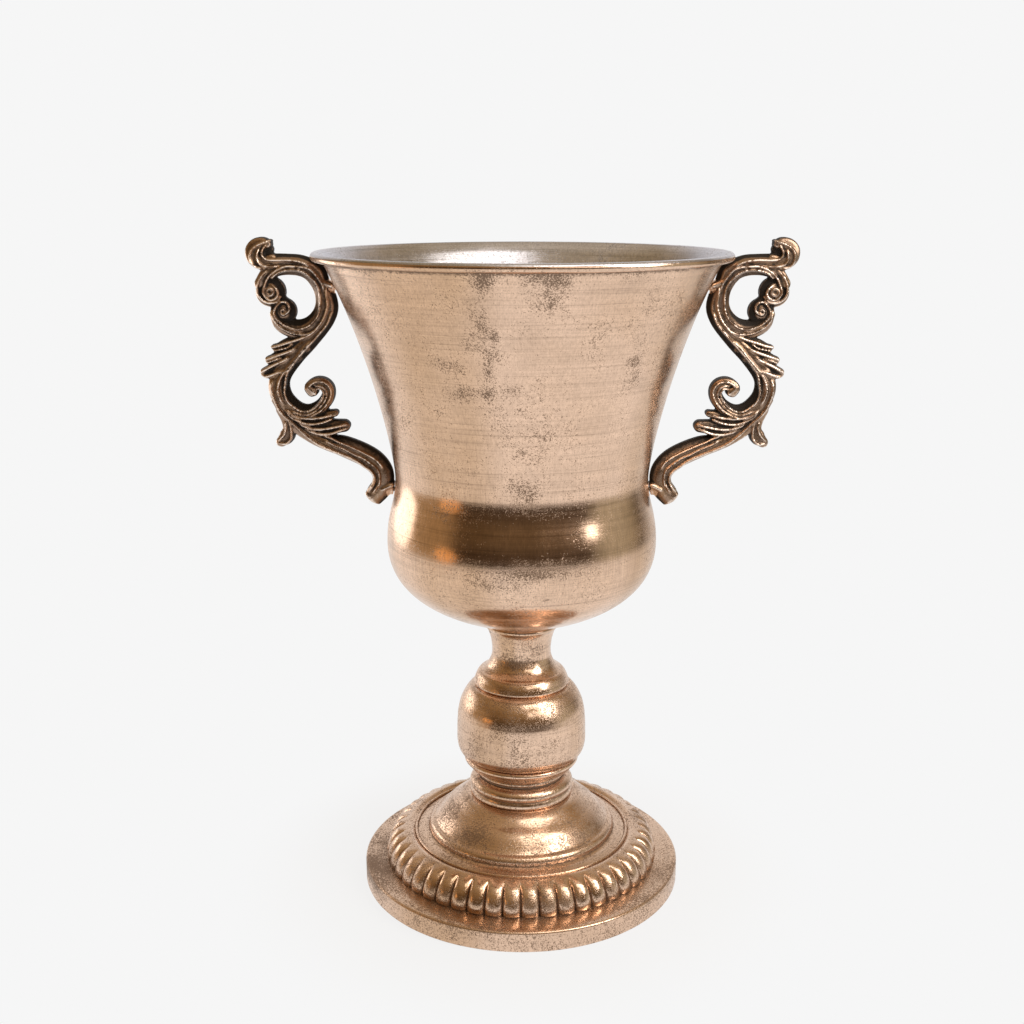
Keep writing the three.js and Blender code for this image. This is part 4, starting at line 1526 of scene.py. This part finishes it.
    def strands(self) -> list[Strand]:
        """Lists the bars of the casting.

        Returns:
            The strands.
        """
        bars = [
            Strand(self.top_curl, Relief.PLAIN, 0.5),
            Strand(self.hook_web, Relief.PLAIN, 2.6),
            Strand(self.eye_web, Relief.PLAIN, 2.4),
            Strand(self.main_scroll, Relief.BEVELLED, 0.3),
            Strand(self.eye_scroll, Relief.BEVELLED, 0.5, swapped=True),
            Strand(self.arm, Relief.CHANNEL, 0.2, cap=0.35),
            Strand(self.spur, Relief.PLAIN, 0.9),
            Strand(self.bulb, Relief.ROUND, 0.4),
        ]
        bars += [Strand(lobe, Relief.PLAIN, 1.3, swapped=True) for lobe in self.upper_leaf]
        bars += [Strand(lobe, Relief.PLAIN, 1.3) for lobe in self.lower_leaf]
        bars += [Strand(peg, Relief.ROUND, 0.3) for peg in self.pegs]
        return bars + list(self.ridges)

    def add_bars(self) -> bpy.types.Object:
        """Makes one mesh of all the bars, each a closed skin.

        Returns:
            The mesh's object.
        """
        vertices: list[tuple[float, ...]] = []
        faces: list[tuple[int, ...]] = []
        top = self.top
        for strand in self.strands():
            rings = strand.rings(self.half_depth, self.ring_spacing)
            start = len(vertices)
            loops, size, _ = rings.shape
            for out, depth, down in rings.reshape(-1, 3):
                vertices.append(((self.rim + out) * MM, depth * MM, (top - down) * MM))
            last = start + (loops - 1) * size
            for a in range(start, last, size):
                for i in range(size):
                    j = (i + 1) % size
                    faces.append((a + i, a + j, a + size + j, a + size + i))
            faces.append(tuple(range(start + size - 1, start - 1, -1)))
            faces.append(tuple(range(last, last + size)))
        mesh = bpy.data.meshes.new("handle")
        mesh.from_pydata(vertices, [], faces)
        bars = bpy.data.objects.new("handle", mesh)
        bpy.context.collection.objects.link(bars)
        return bars

    def add_volute(self, volute: Volute) -> bpy.types.Object:
        """Spins a volute's disc and sets it upright.

        Args:
            volute: Its place and sizes.

        Returns:
            The disc.
        """
        out, down = volute.centre
        disc = turned("volute", volute.outline(self.half_depth), 48)
        disc.rotation_euler = (math.pi / 2, 0, 0)
        disc.location = ((self.rim + out) * MM, 0, (self.top - down) * MM)
        at_origin(disc)
        return disc

    def boss_start(self, seat: Seat) -> Vector:
        """The middle of a boss's end on the cup, in metres."""
        return seat.middle("screw") + seat.along() * self.boss_gap * MM

    def add_boss(self, seat: Seat) -> bpy.types.Object:
        """Makes the short peg between the casting and the cup.

        Args:
            seat: The seat that it is on.

        Returns:
            The peg.
        """
        deselect()
        bpy.ops.mesh.primitive_cone_add(
            vertices=40, radius1=self.boss_radius * MM, radius2=self.boss_flare * MM,
            depth=self.boss_length * MM,
            location=self.boss_start(seat) + seat.along() * self.boss_length * MM / 2,
            rotation=seat.along().to_track_quat("Z", "Y").to_euler(),
        )
        boss = bpy.context.object
        at_origin(boss)
        return boss

    def cast(self) -> bpy.types.Object:
        """Joins the bars, volutes and bosses into one solid casting and evens it out.

        Returns:
            The right handle.
        """
        parts = [self.add_bars()]
        parts += [self.add_volute(volute) for volute in self.volutes]
        parts += [self.add_boss(seat) for seat in Seat]
        deselect()
        for part in parts:
            part.select_set(True)
        handle = parts[0]
        bpy.context.view_layer.objects.active = handle
        bpy.ops.object.join()
        put_modifier(handle, "REMESH", mode="VOXEL", voxel_size=self.voxel * MM)
        put_modifier(handle, "SMOOTH", factor=0.5, iterations=1)
        return handle

    def mark_wear(self, handle: bpy.types.Object) -> None:
        """Stores where the casting is dark and where it is rubbed bright.

        It is dark in its hollows, as patina and painted shade, and on the sides and low faces that look up or
        towards the cup, as painted shade. The bosses are bright.

        Args:
            handle: The right handle.
        """
        places = vertex_places(handle)
        normals = vertex_normals(handle)
        level = np.abs(places[:, 1]) / self.half_depth
        # Painted shade: the sides and sunk faces that look up or towards the cup are darkened as if they lay
        # in shade.
        shaded = np.clip(0.75 - normals @ np.array((0.75, 0, -0.65)), 0, 1)
        low = np.clip((0.78 - level) / 0.3, 0, 1)
        side = np.clip(1.1 - np.abs(normals[:, 1]) / 0.6, 0, 1)
        # The hollows darken, partly as patina and partly as painted shade.
        hollow = surface_hollows(handle, self.hollow_depth, self.hollow_rounds)
        hollow += np.maximum(low, side * 0.8) * shaded * 0.95
        for seat in Seat:
            along = np.array(seat.along())
            offset = places - np.array(self.boss_start(seat)) / MM
            run = offset @ along
            away = np.linalg.norm(offset - run[:, None] * along, axis=1)
            on_boss = (away < self.boss_flare + 0.3) & (run < self.boss_length) & (run > -2)
            hollow[on_boss] = self.boss_wear
        store_hollows_and_shade(handle, hollow)

    def build(self) -> None:
        """Models and dresses both handles. The left one is the right one turned half round."""
        right = self.cast()
        right.name = "handle_casting_right"
        self.mark_wear(right)
        right.data.materials.append(CastBronze().made())
        left = turned_copy(right, "handle_casting_left")
        finish_piece(right, "handle_right")
        finish_piece(left, "handle_left")


@dataclass
class Fasteners:
    """The zinc-plated tie rod, nuts, washers and handle screws, sized from the frame."""

    rod_pitch: float = 1.25
    rod_thread: float = 20.0
    rod_cut: float = 0.6
    thread_gap: float = 2.0
    nut_bore: float = 4.1
    chamfer: float = 0.5
    chamfer_angle: float = 30.0
    face_share: float = 0.96
    washer_bore: float = 4.3
    washer_edge: float = 0.35
    screw_head: Point = (2.9, 2.2)
    head_edge: float = 0.7
    screw_shank: Point = (1.5, 8.5)
    screw_pitch: float = 0.7
    screw_cut: float = 0.3
    screw_washer: Point = (1.9, 3.8)
    half_washer: float = 0.4
    recess: tuple[float, float, float] = (3.2, 0.75, 1.2)
    steel: bpy.types.Material = field(init=False)

    def dress(self, piece: bpy.types.Object, node: str) -> None:
        """Gives a fastener its finish and its place in the frame."""
        piece.data.materials.append(self.steel)
        finish_piece(piece, node)

    def thread(self, radius: float, cut: float, start: float, run: float, pitch: float) -> list[Point]:
        """Draws a threaded stretch as crests and roots.

        Args:
            radius: The radius of its crests.
            cut: The depth of its roots.
            start: The height it starts from.
            run: Its length upwards.
            pitch: The height from crest to crest.

        Returns:
            Its points.
        """
        line: list[Point] = []
        for turn in range(int(run / pitch)):
            base = start + turn * pitch
            line.extend([(radius, base + pitch * 0.1), (radius, base + pitch * 0.3)])
            line.append((radius - cut, base + pitch * 0.7))
        return line

    def rod(self) -> None:
        """Models the tie rod, threaded at both ends."""
        low, high = (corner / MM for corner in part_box("tie_rod"))
        radius = (high.x - low.x) / 2
        core = radius - self.rod_cut
        plain = self.rod_thread + self.thread_gap
        outline = Outline().to((0.0, low.z), (core, low.z))
        bottom = low.z + self.chamfer
        outline.to(*self.thread(radius, self.rod_cut, bottom, self.rod_thread, self.rod_pitch))
        outline.to((radius, low.z + plain), (radius, high.z - plain))
        top = high.z - self.rod_thread - self.chamfer
        outline.to(*self.thread(radius, self.rod_cut, top, self.rod_thread, self.rod_pitch))
        outline.to((core, high.z), (0.0, high.z))
        self.dress(turned("stem_tie_rod", outline, 40), "tie_rod")

    def nut(self, node: str) -> None:
        """Models a hexagon nut with chamfered corners.

        Args:
            node: The CAD node that it replaces.
        """
        low, high = (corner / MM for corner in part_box(node))
        corner = (high.x - low.x) / 2
        face = (high.y - low.y) / 2 * self.face_share
        middle = (low + high) / 2
        deselect()
        bpy.ops.mesh.primitive_cylinder_add(
            vertices=6, radius=corner * MM, depth=(high.z - low.z + 2) * MM, location=middle * MM,
            rotation=(0, 0, math.pi / 6),
        )
        piece = bpy.context.object
        piece.name = f"plated_{node}"
        at_origin(piece)
        edge = corner + self.chamfer
        drop = (edge - face) * math.tan(math.radians(self.chamfer_angle))
        mouth = self.nut_bore + self.chamfer
        outline = Outline().to((mouth, low.z), (face, low.z), (edge, low.z + drop), (edge, high.z - drop))
        outline.to((face, high.z), (mouth, high.z))
        outline.to((self.nut_bore, high.z - self.chamfer), (self.nut_bore, low.z + self.chamfer))
        cut_with(piece, turned("nut_tool", outline, 72), "INTERSECT")
        self.dress(piece, node)

    def washer(self, node: str) -> None:
        """Models a flat washer with rounded edges.

        Args:
            node: The CAD node that it replaces.
        """
        low, high = (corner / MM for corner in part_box(node))
        radius = (high.x - low.x) / 2
        bore = self.washer_bore
        edge = min(self.washer_edge, (high.z - low.z) / 3)
        outline = Outline().to((bore + edge, low.z), (radius - edge, low.z))
        outline.to((radius, low.z + edge), (radius, high.z - edge))
        outline.to((radius - edge, high.z), (bore + edge, high.z))
        outline.to((bore, high.z - edge), (bore, low.z + edge))
        self.dress(turned(f"plated_{node}", outline, 72), node)

    def screw(self, name: str) -> bpy.types.Object:
        """Models a domed screw with a cross recess, along +Z from its washer's middle.

        Args:
            name: The new piece's name.

        Returns:
            The screw.
        """
        head, height = self.screw_head
        shank, length = self.screw_shank
        half = self.half_washer
        outline = Outline().to((0.0, -height - half))
        outline.arc((0.0, -half - self.head_edge), (head, height - self.head_edge), -90, 0, 10)
        outline.to((head, -half), (shank, -half), (shank, 0.6))
        outline.to(*self.thread(shank, self.screw_cut, 0.8, length - 2.2, self.screw_pitch))
        outline.to((shank * 0.6, length - half), (0.0, length - half))
        screw = turned(name, outline, 48)
        long, wide, deep = self.recess
        for size in ((long, wide), (wide, long)):
            deselect()
            bpy.ops.mesh.primitive_cube_add(size=1, location=(0, 0, (-height - half) * MM))
            tool = bpy.context.object
            tool.scale = (size[0] * MM, size[1] * MM, deep * 2 * MM)
            at_origin(tool)
            cut_with(screw, tool, "DIFFERENCE")
        return screw

    def plate(self, name: str) -> bpy.types.Object:
        """Models the thin washer under a screw's head, level at the origin.

        Args:
            name: The new piece's name.

        Returns:
            The washer.
        """
        bore, rim = self.screw_washer
        half = self.half_washer
        outline = Outline().to((bore, -half), (rim - 0.3, -half), (rim, -half + 0.2), (rim, half - 0.2))
        outline.to((rim - 0.3, half), (bore, half))
        return turned(name, outline, 48)

    def fix(self, seat: Seat) -> None:
        """Puts a screw and its washer on one seat of each handle.

        Args:
            seat: The seat.
        """
        screw = self.screw(f"plated_screw_right_{seat.level}")
        plate = self.plate(f"plated_washer_right_{seat.level}")
        turn = seat.along().to_track_quat("Z", "Y").to_matrix().to_4x4()
        for piece, node in ((screw, "screw"), (plate, "screw_washer")):
            piece.data.transform(Matrix.Translation(seat.middle("screw_washer")) @ turn)
            other = turned_copy(piece, piece.name.replace("right", "left"))
            self.dress(piece, f"{node}_right_{seat.level}")
            self.dress(other, f"{node}_left_{seat.level}")

    def build(self) -> None:
        """Models and dresses every fastener."""
        self.steel = ZincSteel().made()
        self.rod()
        for node in ("cup_nut", "foot_nut"):
            self.nut(node)
        for node in ("cup_washer", "foot_washer", "lock_washer"):
            self.washer(node)
        for seat in Seat:
            self.fix(seat)


# The studio

@dataclass(frozen=True)
class Panel:
    """A soft light panel that faces the planter.

    Its azimuth is in degrees, from the camera towards the right. Its size is its width and height, and its
    power is its radiance.
    """

    name: str
    azimuth: float
    distance: float
    height: float
    size: Point
    power: float
    colour: Colour
    oval: bool = False
    aim: float = 200.0

    def hang(self) -> None:
        """Adds the light. The camera doesn't see it."""
        deselect()
        bpy.ops.object.light_add(type="AREA")
        light = bpy.context.object
        light.name = self.name
        angle = math.radians(self.azimuth)
        spot = Vector((math.sin(angle), -math.cos(angle), 0)) * self.distance * MM
        spot.z = self.height * MM
        light.location = spot
        light.rotation_euler = (Vector((0, 0, self.aim * MM)) - spot).to_track_quat("-Z", "Y").to_euler()
        width, tall = (length * MM for length in self.size)
        light.data.shape = "ELLIPSE" if self.oval else "RECTANGLE"
        light.data.size = width
        light.data.size_y = tall
        area = width * tall * (math.pi / 4 if self.oval else 1)
        light.data.energy = self.power * math.pi * area
        light.data.color = self.colour
        light.visible_camera = False


@dataclass
class Studio:
    """A white table and a plain room around the planter: its lights, its floor and the camera."""

    camera_distance: float = 767.7
    camera_height: float = 426.75
    pitch: float = 14.1
    yaw: float = 0.4325
    focal_pixels: float = 1323.5
    picture: int = 1024
    sensor: float = 36.0
    white: float = 0.922
    table: Colour = (0.9, 0.9, 0.9)
    floor_radius: float = 1150.0
    shadow_reach: Point = (100.0, 190.0)
    shadow_share: float = 0.1
    left_wall: Colour = (0.42, 0.30, 0.17)
    right_wall: Colour = (0.45, 0.42, 0.32)
    room_stops: tuple[tuple[float, Colour], ...] = (
        (0.0, (0.06, 0.045, 0.03)), (0.5, (0.07, 0.045, 0.025)), (0.58, (0.13, 0.09, 0.05)),
        (0.67, (0.2, 0.13, 0.065)), (0.8, (0.36, 0.25, 0.13)), (1.0, (0.58, 0.47, 0.33)),
    )
    panels: tuple[Panel, ...] = (
        Panel("window_right", 60, 700, 640, (400, 680), 5.2, (1.0, 0.98, 0.95), oval=True),
        Panel("window_front", 30, 700, 540, (420, 150), 1.6, (1.0, 0.95, 0.88)),
        Panel("window_high", 28, 520, 980, (520, 420), 2.2, (1.0, 0.98, 0.95)),
        Panel("glow_left", -120, 800, 240, (520, 340), 2.2, (1.0, 0.98, 0.96), oval=True),
        Panel("warm_card", -62, 700, 158, (260, 120), 0.8, (1.0, 0.5, 0.18), oval=True),
    )

    def add_floor(self) -> None:
        """Makes the floor. It glows, to meet the white room, and takes a faint shadow near the foot."""
        deselect()
        bpy.ops.mesh.primitive_circle_add(vertices=192, radius=self.floor_radius * MM, fill_type="NGON")
        floor = bpy.context.object
        floor.name = "floor"
        material, board = new_material("white_table")
        x, y, _ = board.parts(board.place())
        near, far = (length * MM for length in self.shadow_reach)
        lit = board.node("ShaderNodeBsdfDiffuse", inputs={"Color": self.table})
        glow = board.node("ShaderNodeEmission", inputs={"Color": (1, 1, 1), "Strength": self.white})
        share = board.radius(x, y).rise(near, far) * self.shadow_share + (1 - self.shadow_share)
        surface = board.node("ShaderNodeMixShader", inputs={0: share, 1: lit, 2: glow})
        board.output("ShaderNodeOutputMaterial", surface)
        floor.data.materials.append(material)

    def add_room(self) -> None:
        """Makes the room: white to the camera and behind the planter, dark in front and gold above."""
        world = bpy.data.worlds.new("room")
        bpy.context.scene.world = world
        world.use_nodes = True
        board = Board(world.node_tree)
        x, y, z = board.parts(board.node("ShaderNodeTexCoord", output="Generated"))
        white = (self.white, self.white, self.white)
        room = board.node("ShaderNodeValToRGB", {"stops": self.room_stops}, {0: z * 0.5 + 0.5})
        room = board.blend(x.rise(-0.78, -0.97), room, self.left_wall)
        room = board.blend(x.rise(0.82, 0.99), room, self.right_wall)
        room = board.blend(y.rise(0.5, 0.9), room, white)
        seen = board.node("ShaderNodeLightPath", output="Is Camera Ray")
        colour = board.blend(seen, room, white)
        shader = board.node("ShaderNodeBackground", inputs={"Color": colour, "Strength": 1.0})
        board.output("ShaderNodeOutputWorld", shader)

    def add_camera(self) -> None:
        """Puts the camera where the photograph was taken from."""
        deselect()
        bpy.ops.object.camera_add(location=(0, -self.camera_distance * MM, self.camera_height * MM))
        camera = bpy.context.object
        camera.rotation_euler = (math.radians(90 - self.pitch), 0, math.radians(self.yaw))
        camera.data.sensor_width = self.sensor
        camera.data.lens = self.sensor * self.focal_pixels / self.picture
        bpy.context.scene.camera = camera

    def build(self) -> None:
        """Sets up the whole studio."""
        self.add_camera()
        self.add_floor()
        self.add_room()
        for panel in self.panels:
            panel.hang()
        bpy.context.scene.view_settings.view_transform = "Standard"


def main() -> None:
    """Builds the planter and its studio in order."""
    logging.basicConfig(level=logging.INFO, format="%(name)s: %(message)s")
    Studio().build()
    for part in (Cup(), Neck(), Knop(), KnopRing(), LowerCollar(), Foot(), Handle(), Fasteners()):
        part.build()


if __name__ == "__main__":
    main()
